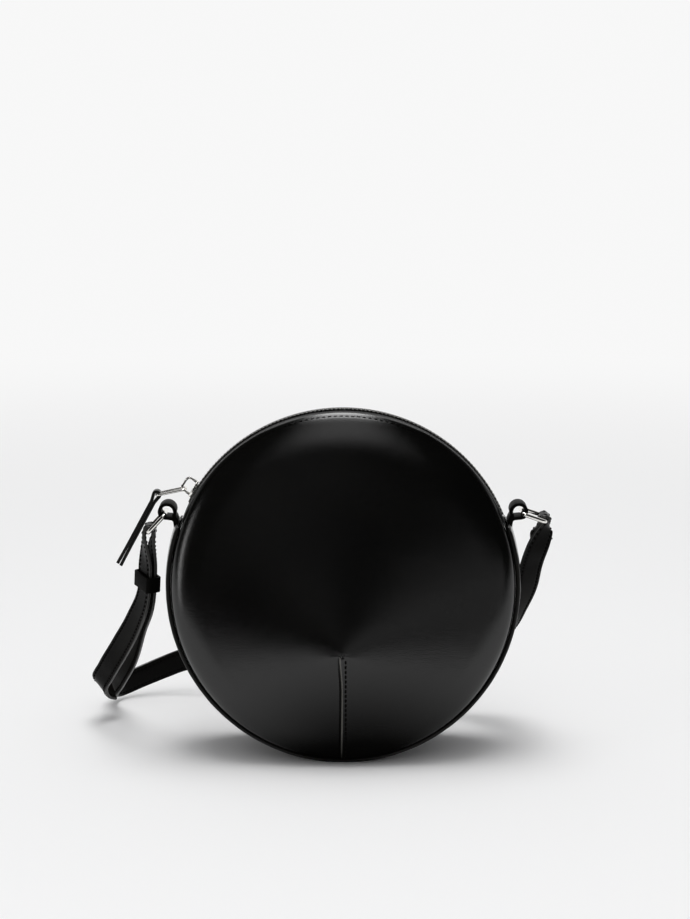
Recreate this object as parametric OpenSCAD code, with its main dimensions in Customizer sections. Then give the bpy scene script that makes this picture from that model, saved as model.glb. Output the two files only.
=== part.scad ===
// Round crossbody bag in black leather, about 200 mm across, standing on its gusset.
// X runs to the right of the front view, Y away from it, and Z up.
// The origin is on the surface it stands on, under the middle of the bag.

/* [Bag] */
// Diameter of the bag over its piping
body_d = 200; // [160:1:240]
// Depth of the bag at the bottom, between the two rims
depth_bottom = 58; // [44:1:70]
// Depth of the bag at the top, between the two rims
depth_top = 20; // [18:1:26]
// How far the point of the dart stands in front of the rim
front_rise = 24; // [12:1:30]
// Height of the middle of the bag over the point of the dart
dart_drop = 33.5; // [25:0.5:50]
// How far the back swells behind its rim
back_rise = 9; // [5:1:14]
// Depth that the bottom of the bag is pressed flat where it stands
rest_cut = 0.5; // [0.3:0.1:1]

/* [Leather] */
// Thickness of the leather of the panels and the gusset
leather_t = 1.3; // [0.9:0.1:1.8]
// Thickness of the lining
lining_t = 0.5; // [0.3:0.1:0.8]
// Thickness of the stiffener in the bottom
stiffener_t = 1; // [0.6:0.1:1.5]
// Diameter of the piping round each rim
piping_d = 2.6; // [2:0.1:3.4]
// Width of the turned shoulder along the edge of the front, at the top
shoulder_w = 21; // [12:0.5:24]
// Width of that shoulder at the bottom
shoulder_low_w = 18; // [12:0.5:26]
// Height of the shoulder of the front at the top
shoulder_h = 5.5; // [3:0.1:7]
// Height of the shoulder of the front at the bottom
shoulder_low_h = 12; // [6:0.1:13]
// Width of the shoulder of the back
back_shoulder_w = 18; // [10:0.5:24]
// Height of the shoulder of the back
back_shoulder_h = 4.7; // [2:0.1:6]
// Height of the lapped edge of the dart
lap_t = 1; // [0.5:0.1:1.4]
// Width over which the lapped edge fades
lap_w = 7; // [4:0.5:12]
// Gap left at every glued or sewn joint
seam_gap = 0.3; // [0.2:0.05:0.4]

/* [Zip] */
// Pitch of the teeth on one side of the zip
tooth_pitch = 2.35; // [2:0.05:2.8]
// Height of a tooth through the tape
tooth_h = 2.6; // [2:0.1:3]
// Width of the closed chain of teeth
chain_w = 5.6; // [4.6:0.1:6.4]
// Thickness of the zip tape
tape_t = 0.6; // [0.4:0.1:0.8]
// Length of the slider
slider_l = 9.5; // [8:0.1:12]
// Width of the slider
slider_w = 8.6; // [7.6:0.1:10]
// Thickness of the slider's plates
plate_t = 1.1; // [0.8:0.1:1.4]
// Width of the bail on the slider
bail_w = 2.2; // [1.4:0.1:2.6]
// Length of the bail along the slider
bail_l = 9.4; // [8:0.1:9.5]
// Height of the bail over the slider's top plate
bail_h = 6.4; // [5:0.1:7.5]
// Length of the wire pull between its two cross bars
pull_l = 17; // [15:0.5:26]
// Width of the wire pull between the middles of its long bars
pull_w = 8; // [7:0.1:10]
// Diameter of the wire of the pull
pull_d = 1.3; // [1:0.1:1.5]
// Length of the leather thong on the pull
thong_l = 46; // [30:1:60]
// Width of the thong
thong_w = 5.6; // [4:0.1:6]
// Thickness of each leaf of the thong
thong_t = 1.8; // [1.2:0.1:2.1]

/* [Strap and rings] */
// Width of the strap
strap_w = 14; // [10:0.5:16]
// Thickness of each of the two leathers of the strap
strap_t = 0.9; // [0.6:0.05:1]
// Diameter of the wire of the rings
ring_d = 2.4; // [2:0.1:2.8]
// Length of a ring between the middles of its cross bars
ring_l = 13.8; // [12:0.1:17]
// Outer radius of the leather loop that holds a ring
tab_r = 5.2; // [4.8:0.1:6]
// Thickness of the leather of that loop
tab_t = 1.8; // [1.4:0.1:2]
// Width of the tab
tab_w = 13.5; // [10:0.5:15]
// Length of the keeper along the strap
keeper_l = 9; // [6:0.5:12]
// Thickness of the keeper
keeper_t = 1.3; // [0.9:0.1:1.6]

/* [Hidden] */

// Frame of the bag
body_r = body_d / 2;
centre_z = body_r - rest_cut;
depth_middle = (depth_bottom + depth_top) / 2;
depth_slope = (depth_bottom - depth_top) / body_d;
piping_r = piping_d / 2;
rim_r = body_r - piping_d - seam_gap;
overrun = body_d;

// Angles, counted from +X towards +Z, as the front view shows them
zip_half = 70;
zip_end_gap = 0.3;
tab_step = 2;
tab_angle = 90 - zip_half + tab_step;
tab_half_foot = 5.5;
slider_step = 12;
slider_angle = 90 + zip_half - slider_step;

// Half the depth between the rims at a height over the middle of the bag
function half_depth(h) = (depth_middle - depth_slope * h) / 2;
function unit(v) = v / norm(v);
function lerp(a, b, t) = a + (b - a) * t;
function on_arc(r, a) = [r * cos(a), r * sin(a)];

// Joins rings of points, each with the same number of points, into one closed tube. The two halves
// of a ring split their quads along opposite diagonals, so two tubes lie flat against each other.
module tube_of_rings(rings) {
    n = len(rings[0]);
    last = len(rings) - 1;
    points = [for (ring = rings) for (p = ring) p];
    sides = [for (i = [0:last - 1]) for (j = [0:n - 1])
        let (k = (j + 1) % n, a = i * n + j, b = i * n + k, c = a + n, d = b + n)
        for (face = j < n / 2 ? [[a, c, b], [b, c, d]] : [[a, c, d], [a, d, b]]) face];
    start = [for (j = [1:n - 2]) [0, j, j + 1]];
    end = [for (j = [1:n - 2]) [last * n, last * n + j + 1, last * n + j]];
    polyhedron(points, concat(sides, start, end));
}

// Front and back panels
// A panel is a ruled shell: straight lines run from one summit to the rim, which lies in a leaning
// plane, and the last stretch turns over a shoulder, whose width and height go evenly from top to
// bottom: turn holds [width, height] at the top, then at the bottom. Angle a runs round the rim.
panel_columns = 68;
radial_shares = [0, 0.03, 0.1, 0.25, 0.5, 0.75];
shoulder_shares = [1, 0.6, 0.3, 0.1, 0];
summit_round_share = 0.05;
dart_columns = [0, 1.4, 2.8, 4.2];
dart_edge = 0.35;
function round_summit(t) =
    let (s = summit_round_share) (sqrt(t * t + s * s) - s) / (sqrt(1 + s * s) - s);
// A point of the panel: depth before the middle plane is negative in the front
function panel_point(a, share, near_rim, inset, rise, drop, turn, lap) =
    let (
        rim = on_arc(rim_r - inset, a),
        ray = norm(rim - [0, -drop]),
        shoulder = lerp(turn[0], turn[1], (1 - rim[1] / rim_r) / 2),
        t = near_rim ? 1 - share * shoulder[0] / ray : share * (1 - shoulder[0] / ray),
        e = min((1 - t) * ray / shoulder[0], 1),
        q = sqrt(1 - (1 - e) * (1 - e)),
        x = rim[0] * t,
        h = lerp(-drop, rim[1], t),
        summit = half_depth(-drop) + rise - inset,
        edge = half_depth(rim[1]) - inset + shoulder[1],
        raised = lap * max(0, 1 - x / lap_w) * min(1, t / summit_round_share)
    )
    [x, -(lerp(summit, edge, round_summit(t)) - shoulder[1] * (1 - q)) - raised, centre_z + h];
// Angles of the columns, with close ones beside the dart, where the shell has its step
panel_angles = concat([for (a = dart_columns) 270 + a],
    [for (i = [1:panel_columns])
        270 + dart_columns[3] + i * (360 - dart_edge - dart_columns[3]) / panel_columns]);
// A shell between two insets, its columns joined round the rim
module panel_shell(from_inset, to_inset, rise, drop, turn, lap, columns) {
    n = len(columns);
    stations = concat([for (s = radial_shares) [s, false]], [for (s = shoulder_shares) [s, true]]);
    m = len(stations);
    skin = function(inset, l) [for (i = [0:n - 1]) for (j = [1:m - 1])
        panel_point(columns[i], stations[j][0], stations[j][1], inset, rise, drop, turn,
            i < len(dart_columns) ? l : 0)];
    tip = function(inset) panel_point(270, 0, false, inset, rise, drop, turn, 0);
    outer = skin(from_inset, lap);
    inner = skin(to_inset, 0);
    r = m - 1;
    points = concat(outer, inner, [tip(from_inset), tip(to_inset)]);
    o = n * r;
    faces = concat(
        [for (i = [0:n - 1]) let (k = (i + 1) % n) [2 * o, i * r, k * r]],
        [for (i = [0:n - 1]) let (k = (i + 1) % n) [2 * o + 1, o + k * r, o + i * r]],
        [for (i = [0:n - 1]) for (j = [0:r - 2])
            let (k = (i + 1) % n, a = i * r + j, b = k * r + j)
            for (f = [[a, a + 1, b], [b, a + 1, b + 1]]) f],
        [for (i = [0:n - 1]) for (j = [0:r - 2])
            let (k = (i + 1) % n, a = o + i * r + j, b = o + k * r + j)
            for (f = [[a, b, a + 1], [b, b + 1, a + 1]]) f],
        [for (i = [0:n - 1])
            let (k = (i + 1) % n, a = i * r + r - 1, b = k * r + r - 1)
            for (f = [[a, o + a, b], [b, o + a, o + b]]) f]
    );
    polyhedron(points, [for (f = faces) [f[2], f[1], f[0]]]);
}
module behind() {
    mirror([0, 1, 0]) children();
}

// Bands round the bag: a ring sector, cut by the two leaning planes of the rims
module sector_outline(r0, r1, from, to) {
    steps = 12;
    fan = [for (i = [0:steps]) on_arc(overrun, lerp(from, to, i / steps))];
    intersection() {
        difference() {
            circle(r = r1, $fn = 180);
            circle(r = r0, $fn = 180);
        }
        polygon(concat([[0, 0]], fan));
    }
}
// The band keeps its far edge clear of the rim plane by edge, and starts at near from the middle
module half_band(r0, r1, from, to, near, edge) {
    outline = [
        [-near, -body_d], [-half_depth(-body_d) + edge, -body_d],
        [-half_depth(body_d) + edge, body_d], [-near, body_d]
    ];
    translate([0, 0, centre_z]) intersection() {
        rotate([90, 0, 0]) linear_extrude(height = overrun, center = true)
            sector_outline(r0, r1, from, to);
        rotate([90, 0, 90]) linear_extrude(height = 2 * overrun, center = true) polygon(outline);
    }
}
module full_band(r0, r1, from, to, edge) {
    outline = [
        [half_depth(-body_d) - edge, -body_d], [half_depth(body_d) - edge, body_d],
        [-half_depth(body_d) + edge, body_d], [-half_depth(-body_d) + edge, -body_d]
    ];
    translate([0, 0, centre_z]) intersection() {
        rotate([90, 0, 0]) linear_extrude(height = overrun, center = true)
            sector_outline(r0, r1, from, to);
        rotate([90, 0, 90]) linear_extrude(height = 2 * overrun, center = true) polygon(outline);
    }
}
band_from = 90 + zip_half + zip_end_gap;
band_to = 450 - zip_half - zip_end_gap;
band_edge = piping_r + seam_gap;
stiffener_half = 48;
stiffener_r = body_r - leather_t - seam_gap;
gusset_lining_r = stiffener_r - stiffener_t - seam_gap;
lining_inset = leather_t + seam_gap;

front_turn = [[shoulder_w, shoulder_h], [shoulder_low_w, shoulder_low_h]];
back_turn = [[back_shoulder_w, back_shoulder_h], [back_shoulder_w, back_shoulder_h]];
module front_panel() {
    color("#141414") panel_shell(0, leather_t, front_rise, dart_drop, front_turn, lap_t, panel_angles);
}
back_angles = [for (i = [0:47]) 270 + i * 360 / 48];
module back_panel() {
    color("#141414") behind() panel_shell(0, leather_t, back_rise, 0, back_turn, 0, back_angles);
}
lining_angles = [for (i = [0:39]) 270 + i * 360 / 40];
module lining(rise, drop, turn) {
    color("#3b342e") panel_shell(lining_inset, lining_inset + lining_t, rise, drop, turn, 0, lining_angles);
}
module front_lining() {
    lining(front_rise, dart_drop, front_turn);
}
module back_lining() {
    behind() lining(back_rise, 0, back_turn);
}
module gusset() {
    color("#171717") intersection() {
        full_band(body_r - leather_t, body_r, band_from, band_to, band_edge);
        translate([-overrun, -overrun, 0]) cube(2 * overrun);
    }
}
module bottom_stiffener() {
    color("#6f6454") full_band(stiffener_r - stiffener_t, stiffener_r,
        270 - stiffener_half, 270 + stiffener_half, band_edge);
}
module gusset_lining() {
    color("#3b342e") full_band(gusset_lining_r - lining_t, gusset_lining_r, band_from, band_to, band_edge);
}

// Piping: a bead along the rim from tab to tab, flattened where it meets the floor
piping_sides = 8;
piping_rings = 64;
piping_from = 90 + zip_half;
piping_to = 450 - zip_half;
function piping_ring(a) = [for (i = [0:piping_sides - 1])
    let (
        b = (i + 0.5) * 360 / piping_sides,
        r = body_r - piping_r + piping_r * cos(b) / cos(180 / piping_sides),
        p = on_arc(r, a),
        rim = (body_r - piping_r) * sin(a)
    )
    [p[0], -half_depth(rim) + piping_r * sin(b), max(0, centre_z + p[1])]];
module piping() {
    color("#101010") tube_of_rings([for (i = [0:piping_rings])
        piping_ring(lerp(piping_from, piping_to, i / piping_rings))]);
}
module front_piping() {
    piping();
}
module back_piping() {
    behind() piping();
}

// Zip tapes, teeth and stops
tape_r = rim_r + seam_gap;
tape_middle_r = tape_r + tape_t / 2;
chain_half = chain_w / 2;
tape_gap = 0.1;
slider_clear = 0.4;
core_d = 2;
core_inset = 0.4;
stop_l = 2.4;
stop_gap = 0.8;
stop_share = 0.6;
module front_zip_tape() {
    color("#1c1c1c") half_band(tape_r, tape_r + tape_t, 90 - zip_half, 90 + zip_half,
        chain_half + tape_gap, seam_gap);
}
module back_zip_tape() {
    behind() front_zip_tape();
}
// Outline of one tooth from its heel at the tape to its head across the middle, in shares of the
// half chain across and of the pitch along
tooth_shares = [
    [-1, -0.21], [-0.62, -0.21], [-0.3, -0.12], [0.02, -0.12], [0.2, -0.2], [0.3, -0.12],
    [0.3, 0.12], [0.2, 0.2], [0.02, 0.12], [-0.3, 0.12], [-0.62, 0.21], [-1, 0.21]
];
function zip_degrees(length) = length / tape_middle_r * 180 / PI;
tooth_step = zip_degrees(tooth_pitch);
first_tooth = slider_angle + zip_degrees(slider_l / 2 - core_inset - core_d - slider_clear - tooth_pitch / 4);
top_stop_angle = slider_angle + zip_degrees(slider_l / 2 + stop_gap + stop_l / 2);
bottom_stop_angle = 90 - zip_half + zip_degrees(stop_gap + stop_l / 2);
tooth_count = floor((first_tooth - bottom_stop_angle - zip_degrees(stop_l / 2)) / tooth_step);
module tooth() {
    outline = [for (p = tooth_shares) [p[1] * tooth_pitch, p[0] * chain_half]];
    translate([0, 0, -tooth_h / 2]) linear_extrude(height = tooth_h) polygon(outline);
}
// Places a piece on the arc of the zip: its own Z points out of the bag, its X along the zip
module on_zip(a, r) {
    translate([0, 0, centre_z]) rotate([0, 90 - a, 0]) translate([0, 0, r]) children();
}
module front_zip_teeth() {
    color("#2a2a2c") for (i = [0:tooth_count - 1])
        on_zip(first_tooth - i * tooth_step, tape_middle_r) tooth();
}
module back_zip_teeth() {
    color("#2a2a2c") behind() for (i = [0:tooth_count - 1])
        on_zip(first_tooth - (i + 0.5) * tooth_step, tape_middle_r) tooth();
}
module top_stops() {
    color("#2a2a2c") for (side = [-1, 1])
        on_zip(top_stop_angle, tape_middle_r)
            translate([0, side * (1 - stop_share / 2) * chain_half, 0])
                cube([stop_l, stop_share * chain_half, tooth_h], center = true);
}
module bottom_stop() {
    color("#2a2a2c") on_zip(bottom_stop_angle, tape_middle_r)
        cube([stop_l, chain_w, tooth_h], center = true);
}

// Slider: two plates joined by a core, with side walls that leave slots for the tapes
wall_t = 0.7;
plate_round_share = 0.3;
plate_r = slider_w * plate_round_share;
slot_h = tape_t + 2 * slider_clear;
upper_z = tooth_h / 2 + slider_clear;
module plate_outline() {
    translate([slider_l / 2 - plate_r, 0]) circle(r = plate_r, $fn = 48);
    translate([-slider_l / 2, -slider_w / 2]) square([slider_l - plate_r, slider_w]);
}
module slider_wall(side, low, high) {
    translate([-slider_l / 2, side * (slider_w - wall_t) / 2 - wall_t / 2, low])
        cube([slider_l - plate_r, wall_t, high - low]);
}
module slider_body() {
    color("#b9b9b4") on_zip(slider_angle, tape_middle_r) union() {
        translate([0, 0, upper_z]) linear_extrude(height = plate_t) plate_outline();
        translate([0, 0, -upper_z - plate_t]) linear_extrude(height = plate_t) plate_outline();
        for (side = [-1, 1]) {
            slider_wall(side, slot_h / 2, upper_z);
            slider_wall(side, -upper_z, -slot_h / 2);
        }
        translate([-slider_l / 2 + core_inset + core_d / 2, 0, -upper_z])
            cylinder(d = core_d, h = 2 * upper_z, $fn = 32);
    }
}
// Bail: a long arch on the top plate that holds the pull loosely, with grip notches across its top
bail_t = 1.3;
bail_corner_r = 3;
notch_d = 0.7;
notch_step = 1.3;
module arch(length, height, r) {
    for (side = [-1, 1])
        translate([side * (length / 2 - r), height - r]) circle(r = r, $fn = 64);
    translate([-length / 2, 0]) square([length, height - r]);
    translate([r - length / 2, 0]) square([length - 2 * r, height]);
}
module slider_bail() {
    color("#c4c4bf") on_zip(slider_angle, tape_middle_r)
        translate([0, 0, upper_z + plate_t]) rotate([90, 0, 0])
            linear_extrude(height = bail_w, center = true) difference() {
                arch(bail_l, bail_h, bail_corner_r);
                arch(bail_l - 2 * bail_t, bail_h - bail_t, bail_corner_r - bail_t);
                for (i = [-1:1]) translate([i * notch_step, bail_h]) circle(d = notch_d, $fn = 32);
            }
}

// A rectangular wire frame, its first cross bar on the origin along Y and its length along X
module wire_frame(length, width, wire_d, corner_r) {
    for (s = [-1, 1]) {
        translate([corner_r, s * width / 2, 0]) rotate([0, 90, 0])
            cylinder(d = wire_d, h = length - 2 * corner_r, $fn = 32);
    }
    for (x = [0, length]) {
        translate([x, width / 2 - corner_r, 0]) rotate([90, 0, 0])
            cylinder(d = wire_d, h = width - 2 * corner_r, $fn = 32);
    }
    corners = [[0, 0, 180], [1, 0, 270], [1, 1, 0], [0, 1, 90]];
    for (c = corners) {
        translate([lerp(corner_r, length - corner_r, c[0]), lerp(-1, 1, c[1]) * (width / 2 - corner_r), 0])
            rotate([0, 0, c[2]]) rotate_extrude(angle = 90, $fn = 64)
                translate([corner_r, 0]) circle(d = wire_d, $fn = 32);
    }
}
pull_angle = 192;
pull_corner_r = 2;
// The near bar of the pull hangs at the lower end of the bail
bar_clear = 0.35;
pivot_x = -bail_l / 2 + bail_t + pull_d / 2 + bar_clear;
pivot_z = upper_z + plate_t + bail_h / 2;
pivot = [0, 0, centre_z] + (tape_middle_r + pivot_z) * [cos(slider_angle), 0, sin(slider_angle)]
    + pivot_x * [sin(slider_angle), 0, -cos(slider_angle)];
pull_end = pivot + pull_l * [cos(pull_angle), 0, sin(pull_angle)];
module wire_pull() {
    color("#c9c9c4") translate(pivot) rotate([0, -pull_angle, 0])
        wire_frame(pull_l, pull_w, pull_d, pull_corner_r);
}
// Thong: a strip folded over the far bar of the pull, its two leaves hanging side by side
thong_angle = 241.5;
thong_clear = 0.3;
thong_eye_r = pull_d / 2 + thong_clear;
leaf_gap = 0.16;
thong_short = 0.8;
module pull_thong() {
    color("#161616") translate(pull_end) rotate([0, -thong_angle, 0]) rotate([90, 0, 0])
        linear_extrude(height = thong_w, center = true) difference() {
            union() {
                circle(r = thong_eye_r + thong_t, $fn = 64);
                translate([0, leaf_gap / 2]) square([thong_l, thong_t]);
                translate([0, -leaf_gap / 2 - thong_t]) square([thong_l - thong_short, thong_t]);
            }
            circle(r = thong_eye_r, $fn = 64);
            translate([0, -leaf_gap / 2]) square([thong_l, leaf_gap]);
        }
}

// Tabs and rings
tab_neck = 2.4;
tab_reach = body_r + tab_r + tab_neck;
tab_hole_r = tab_r - tab_t;
ring_seat = tab_hole_r - ring_d / 2 - seam_gap;
ring_side_gap = 1;
ring_width = strap_w + ring_d + 2 * ring_side_gap;
ring_corner_r = 2.2;
left_ring_angle = 227;
right_ring_angle = -19;
left_tab_angle = 180 - tab_angle;
function tab_centre(a) = [0, 0, centre_z] + tab_reach * [cos(a), 0, sin(a)];
function ring_bar(a, lean, out) = tab_centre(a) + (ring_seat + out) * [cos(lean), 0, sin(lean)];
module tab(a) {
    foot_r = body_r + seam_gap;
    translate([0, 0, centre_z]) rotate([90, 0, 0]) linear_extrude(height = tab_w, center = true)
        difference() {
            union() {
                sector_outline(foot_r, foot_r + tab_t, a - tab_half_foot, a + tab_half_foot);
                translate(on_arc(tab_reach, a)) circle(r = tab_r, $fn = 64);
                intersection() {
                    rotate(a) translate([foot_r + tab_t / 2, -tab_r]) square([tab_reach - foot_r, 2 * tab_r]);
                    circle(r = tab_reach, $fn = 180);
                }
            }
            translate(on_arc(tab_reach, a)) circle(r = tab_hole_r, $fn = 64);
        }
}
module left_tab() {
    color("#151515") tab(left_tab_angle);
}
module right_tab() {
    color("#151515") tab(tab_angle);
}
module ring_at(bar, lean) {
    translate(bar) rotate([0, -lean, 0]) wire_frame(ring_l, ring_width, ring_d, ring_corner_r);
}
module left_ring() {
    color("#d2d2cf") ring_at(ring_bar(left_tab_angle, left_ring_angle, 0), left_ring_angle);
}
module right_ring() {
    color("#d2d2cf") ring_at(ring_bar(tab_angle, right_ring_angle, 0), right_ring_angle);
}

// Strap: two leathers sewn face to face, folded over the outer bar of each ring
strap_half_t = strap_t + leaf_gap / 2;
fold_r = ring_d / 2 + seam_gap + strap_half_t;
left_bar = ring_bar(left_tab_angle, left_ring_angle, ring_l);
right_bar = ring_bar(tab_angle, right_ring_angle, ring_l);
// Down the left side the strap runs straight and double, and turns a little on itself
run_down = unit([-0.06, 0.13, -1]);
run_twist = 32;
run_width = unit(cross(run_down, [-cos(run_twist), -sin(run_twist), 0]));
run_face = cross(run_width, run_down);
run_gap_share = 0.68;
run_gap = fold_r * run_gap_share;
keeper_drop_share = 0.155;
twist_share = 0.1;
keeper_centre = left_bar + keeper_drop_share * body_d * run_down;
// Each row is a place in shares of the bag's diameter, then the direction of the strap's width
tail_shares = [
    [-0.607, 0.077, 0.348, -0.5, 0.8, 0.1], [-0.650, 0.140, 0.257, -0.5, 0.8, 0.2],
    [-0.696, 0.200, 0.174, -0.5, 0.7, 0.3], [-0.724, 0.250, 0.117, -0.4, 0.7, 0.4],
    [-0.716, 0.282, 0.093, -0.3, 0.6, 0.5], [-0.696, 0.303, 0.085, -0.2, 0.5, 0.6]
];
lie_shares = [
    [-0.606, 0.153, 0.332, -0.5, 0.8, 0.2], [-0.636, 0.295, 0.202, -0.4, 0.6, 0.6],
    [-0.672, 0.420, 0.095, -0.2, 0.4, 0.9], [-0.686, 0.480, 0.052, 0, 0.2, 1],
    [-0.668, 0.520, 0.046, 0, 0, 1], [-0.625, 0.548, 0.062, 0, 0, 1],
    [-0.562, 0.565, 0.084, 0, 0, 1], [-0.508, 0.570, 0.104, 0, 0, 1],
    [-0.370, 0.560, 0.125, 0, 0, 1], [-0.240, 0.565, 0.090, 0, 0, 1],
    [-0.100, 0.590, 0.045, 0, 0, 1], [0.080, 0.600, 0.040, 0, 0, 1],
    [0.220, 0.590, 0.040, 0, 0, 1], [0.290, 0.520, 0.040, 0, 0, 1],
    [0.220, 0.450, 0.040, 0, 0, 1], [0.120, 0.445, 0.039, 0, -0.4, 1],
    [0.020, 0.440, 0.018, 0, -1, 0.2], [-0.080, 0.440, 0.018, 0, -1, -0.2],
    [-0.180, 0.430, 0.038, 0, -0.4, -1], [-0.270, 0.360, 0.043, 0, 0, -1],
    [-0.200, 0.295, 0.040, 0, 0, -1], [-0.060, 0.290, 0.042, 0, 0, -1],
    [0.110, 0.300, 0.050, 0, 0, -1], [0.270, 0.300, 0.100, -0.1, -0.1, -1],
    [0.430, 0.270, 0.200, -0.5, -0.4, -0.8], [0.491, 0.220, 0.285, -0.7, -0.5, -0.5],
    [0.513, 0.157, 0.361, -0.85, -0.5, -0.3], [0.534, 0.097, 0.446, -0.9, -0.45, -0.15],
    [0.545, 0.040, 0.530, -0.9, -0.45, -0.1]
];
// A knot of the strap's middle line: its place and the direction of its width
function knots_of(rows) = [for (r = rows)
    [body_d * [r[0], r[1], r[2]], [r[3], r[4], r[5]]]];
across = [0, 1, 0];
function fold_knots(bar, from, to, width) = [for (i = [0:6])
    let (a = lerp(from, to, i / 6)) [bar + fold_r * [cos(a), 0, sin(a)], width]];
run_shares = [0.05, 0.105, 0.15, 0.19, 0.21];
function run_knots(side) = [for (s = run_shares)
    let (t = min(1, s / twist_share), out = unit(lerp([-1, 0, 0], run_face, t)))
    [left_bar + s * body_d * run_down + side * lerp(fold_r, run_gap, t) * out, lerp(across, run_width, t)]];
// On the right the end of the strap is sewn to the strap under the fold
// Each row is a drop under the bar in shares of the diameter, a spread in shares of the fold's
// radius, an angle that the strap has turned by, and a shift towards the bag in shares of the diameter
sewn_shares = [[0.03, 0.9, 24, 0.003], [0.072, 0.46, 50, 0.014]];
function sewn_knots(side) = [for (r = sewn_shares)
    [right_bar + body_d * [-r[3], 0, -r[0]] + side * r[1] * fold_r * [cos(r[2]), -sin(r[2]), 0],
        [-sin(r[2]), -cos(r[2]), 0]]];
function reversed(list) = [for (i = [len(list) - 1:-1:0]) list[i]];
strap_knots = concat(
    reversed(knots_of(tail_shares)), reversed(run_knots(1)), fold_knots(left_bar, 180, 0, across),
    run_knots(-1), knots_of(lie_shares), reversed(sewn_knots(1)),
    fold_knots(right_bar, 0, 180, -across), sewn_knots(-1)
);
strap_steps = 3;
knot_last = len(strap_knots) - 1;
function knot_at(i) =
    i < 0 ? 2 * strap_knots[0] - strap_knots[1] :
    i > knot_last ? 2 * strap_knots[knot_last] - strap_knots[knot_last - 1] : strap_knots[i];
// Slope of the middle line at knot i, with each side weighed by the length of the other
function slope_at(i) =
    let (p = knot_at(i - 1), q = knot_at(i), r = knot_at(i + 1), a = norm(q[0] - p[0]), b = norm(r[0] - q[0]))
    ((q - p) * b / a + (r - q) * a / b) / (a + b);
// Cubic from knot i to the next one, at a share of the way
function strap_point(i, t) =
    let (q = knot_at(i), r = knot_at(i + 1), b = norm(r[0] - q[0]), u = 1 - t)
    u * u * (1 + 2 * t) * q + t * t * (1 + 2 * u) * r + b * t * u * (u * slope_at(i) - t * slope_at(i + 1));
strap_line = concat(
    [for (i = [0:knot_last - 1]) for (j = [0:strap_steps - 1]) strap_point(i, j / strap_steps)],
    [knot_at(knot_last)]
);
strap_last = len(strap_line) - 1;
function strap_along(i) =
    unit(strap_line[min(strap_last, i + 1)][0] - strap_line[max(0, i - 1)][0]);
function strap_across(i) =
    let (t = strap_along(i), w = strap_line[i][1]) unit(w - (w * t) * t);
// The strap's own length along its middle line
strap_length = [for (i = 0, s = 0; i < strap_last;
    s = s + norm(strap_line[i + 1][0] - strap_line[i][0]), i = i + 1) s][strap_last - 1];
module strap_leather(low, high) {
    tube_of_rings([for (i = [0:strap_last])
        let (p = strap_line[i][0], w = strap_across(i) * strap_w / 2, n = cross(strap_along(i), strap_across(i)))
        [p - w + low * n, p + w + low * n, p + w + high * n, p - w + high * n]]);
}
module strap_face() {
    color("#121212") strap_leather(leaf_gap / 2, strap_half_t);
}
module strap_backing() {
    color("#1d1b19") strap_leather(-strap_half_t, -leaf_gap / 2);
}
// Keeper: a closed loop of leather round the doubled strap
keeper_clear = 0.6;
module keeper() {
    inner = [strap_w + 2 * keeper_clear, 2 * (run_gap + strap_half_t + keeper_clear)];
    outer = inner + 2 * keeper_t * [1, 1];
    frame = [run_width, run_face, -run_down];
    color("#131313") multmatrix([
        [frame[0][0], frame[1][0], frame[2][0], keeper_centre[0]],
        [frame[0][1], frame[1][1], frame[2][1], keeper_centre[1]],
        [frame[0][2], frame[1][2], frame[2][2], keeper_centre[2]]
    ]) linear_extrude(height = keeper_l, center = true) difference() {
        square(outer, center = true);
        square(inner, center = true);
    }
}

echo(strap_length = strap_length, pull_pivot = pivot, thong_pivot = pull_end);

front_panel();
back_panel();
gusset();
front_piping();
back_piping();
front_lining();
back_lining();
gusset_lining();
bottom_stiffener();
front_zip_tape();
back_zip_tape();
front_zip_teeth();
back_zip_teeth();
top_stops();
bottom_stop();
left_tab();
right_tab();
left_ring();
right_ring();
slider_body();
slider_bail();
wire_pull();
pull_thong();
strap_face();
strap_backing();
keeper();
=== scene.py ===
import bmesh
import bpy
import math
import numpy as np
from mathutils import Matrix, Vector


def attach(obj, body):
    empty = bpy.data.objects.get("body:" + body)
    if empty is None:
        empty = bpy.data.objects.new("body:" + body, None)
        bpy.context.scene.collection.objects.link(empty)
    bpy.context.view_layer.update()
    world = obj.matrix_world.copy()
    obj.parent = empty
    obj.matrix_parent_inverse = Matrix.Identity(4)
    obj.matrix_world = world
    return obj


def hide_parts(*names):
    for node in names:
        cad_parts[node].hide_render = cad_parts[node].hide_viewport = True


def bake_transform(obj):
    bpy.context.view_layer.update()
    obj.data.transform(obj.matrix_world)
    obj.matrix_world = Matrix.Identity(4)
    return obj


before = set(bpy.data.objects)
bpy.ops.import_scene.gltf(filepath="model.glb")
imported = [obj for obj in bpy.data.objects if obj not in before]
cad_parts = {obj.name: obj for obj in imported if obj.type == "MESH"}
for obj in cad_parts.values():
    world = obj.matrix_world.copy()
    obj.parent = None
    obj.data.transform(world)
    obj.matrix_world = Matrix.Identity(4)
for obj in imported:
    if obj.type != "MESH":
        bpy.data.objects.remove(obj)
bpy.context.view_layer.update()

# Stand: a seamless sheet of white paper, with the camera on its tripod in front of it. Soft lamps
# hang overhead and stand low at both sides, and the studio in front is dark but for one dim wall,
# so the black leather shows its form as soft steps of grey.
CAMERA_DISTANCE = 1.300
CAMERA_LIFT = math.radians(13.0)
BAG_MIDDLE = 0.0995           # height of the middle of the rims
SENSOR = 36.0                 # millimetres, like the lens
FOCAL_PIXELS = 2268.5
PICTURE_HEIGHT = 919
MIDDLE_BELOW = 119.5          # the bag's middle is this many pixels under the picture's middle
MIDDLE_LEFT = 2.0             # and this many left of it

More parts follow.
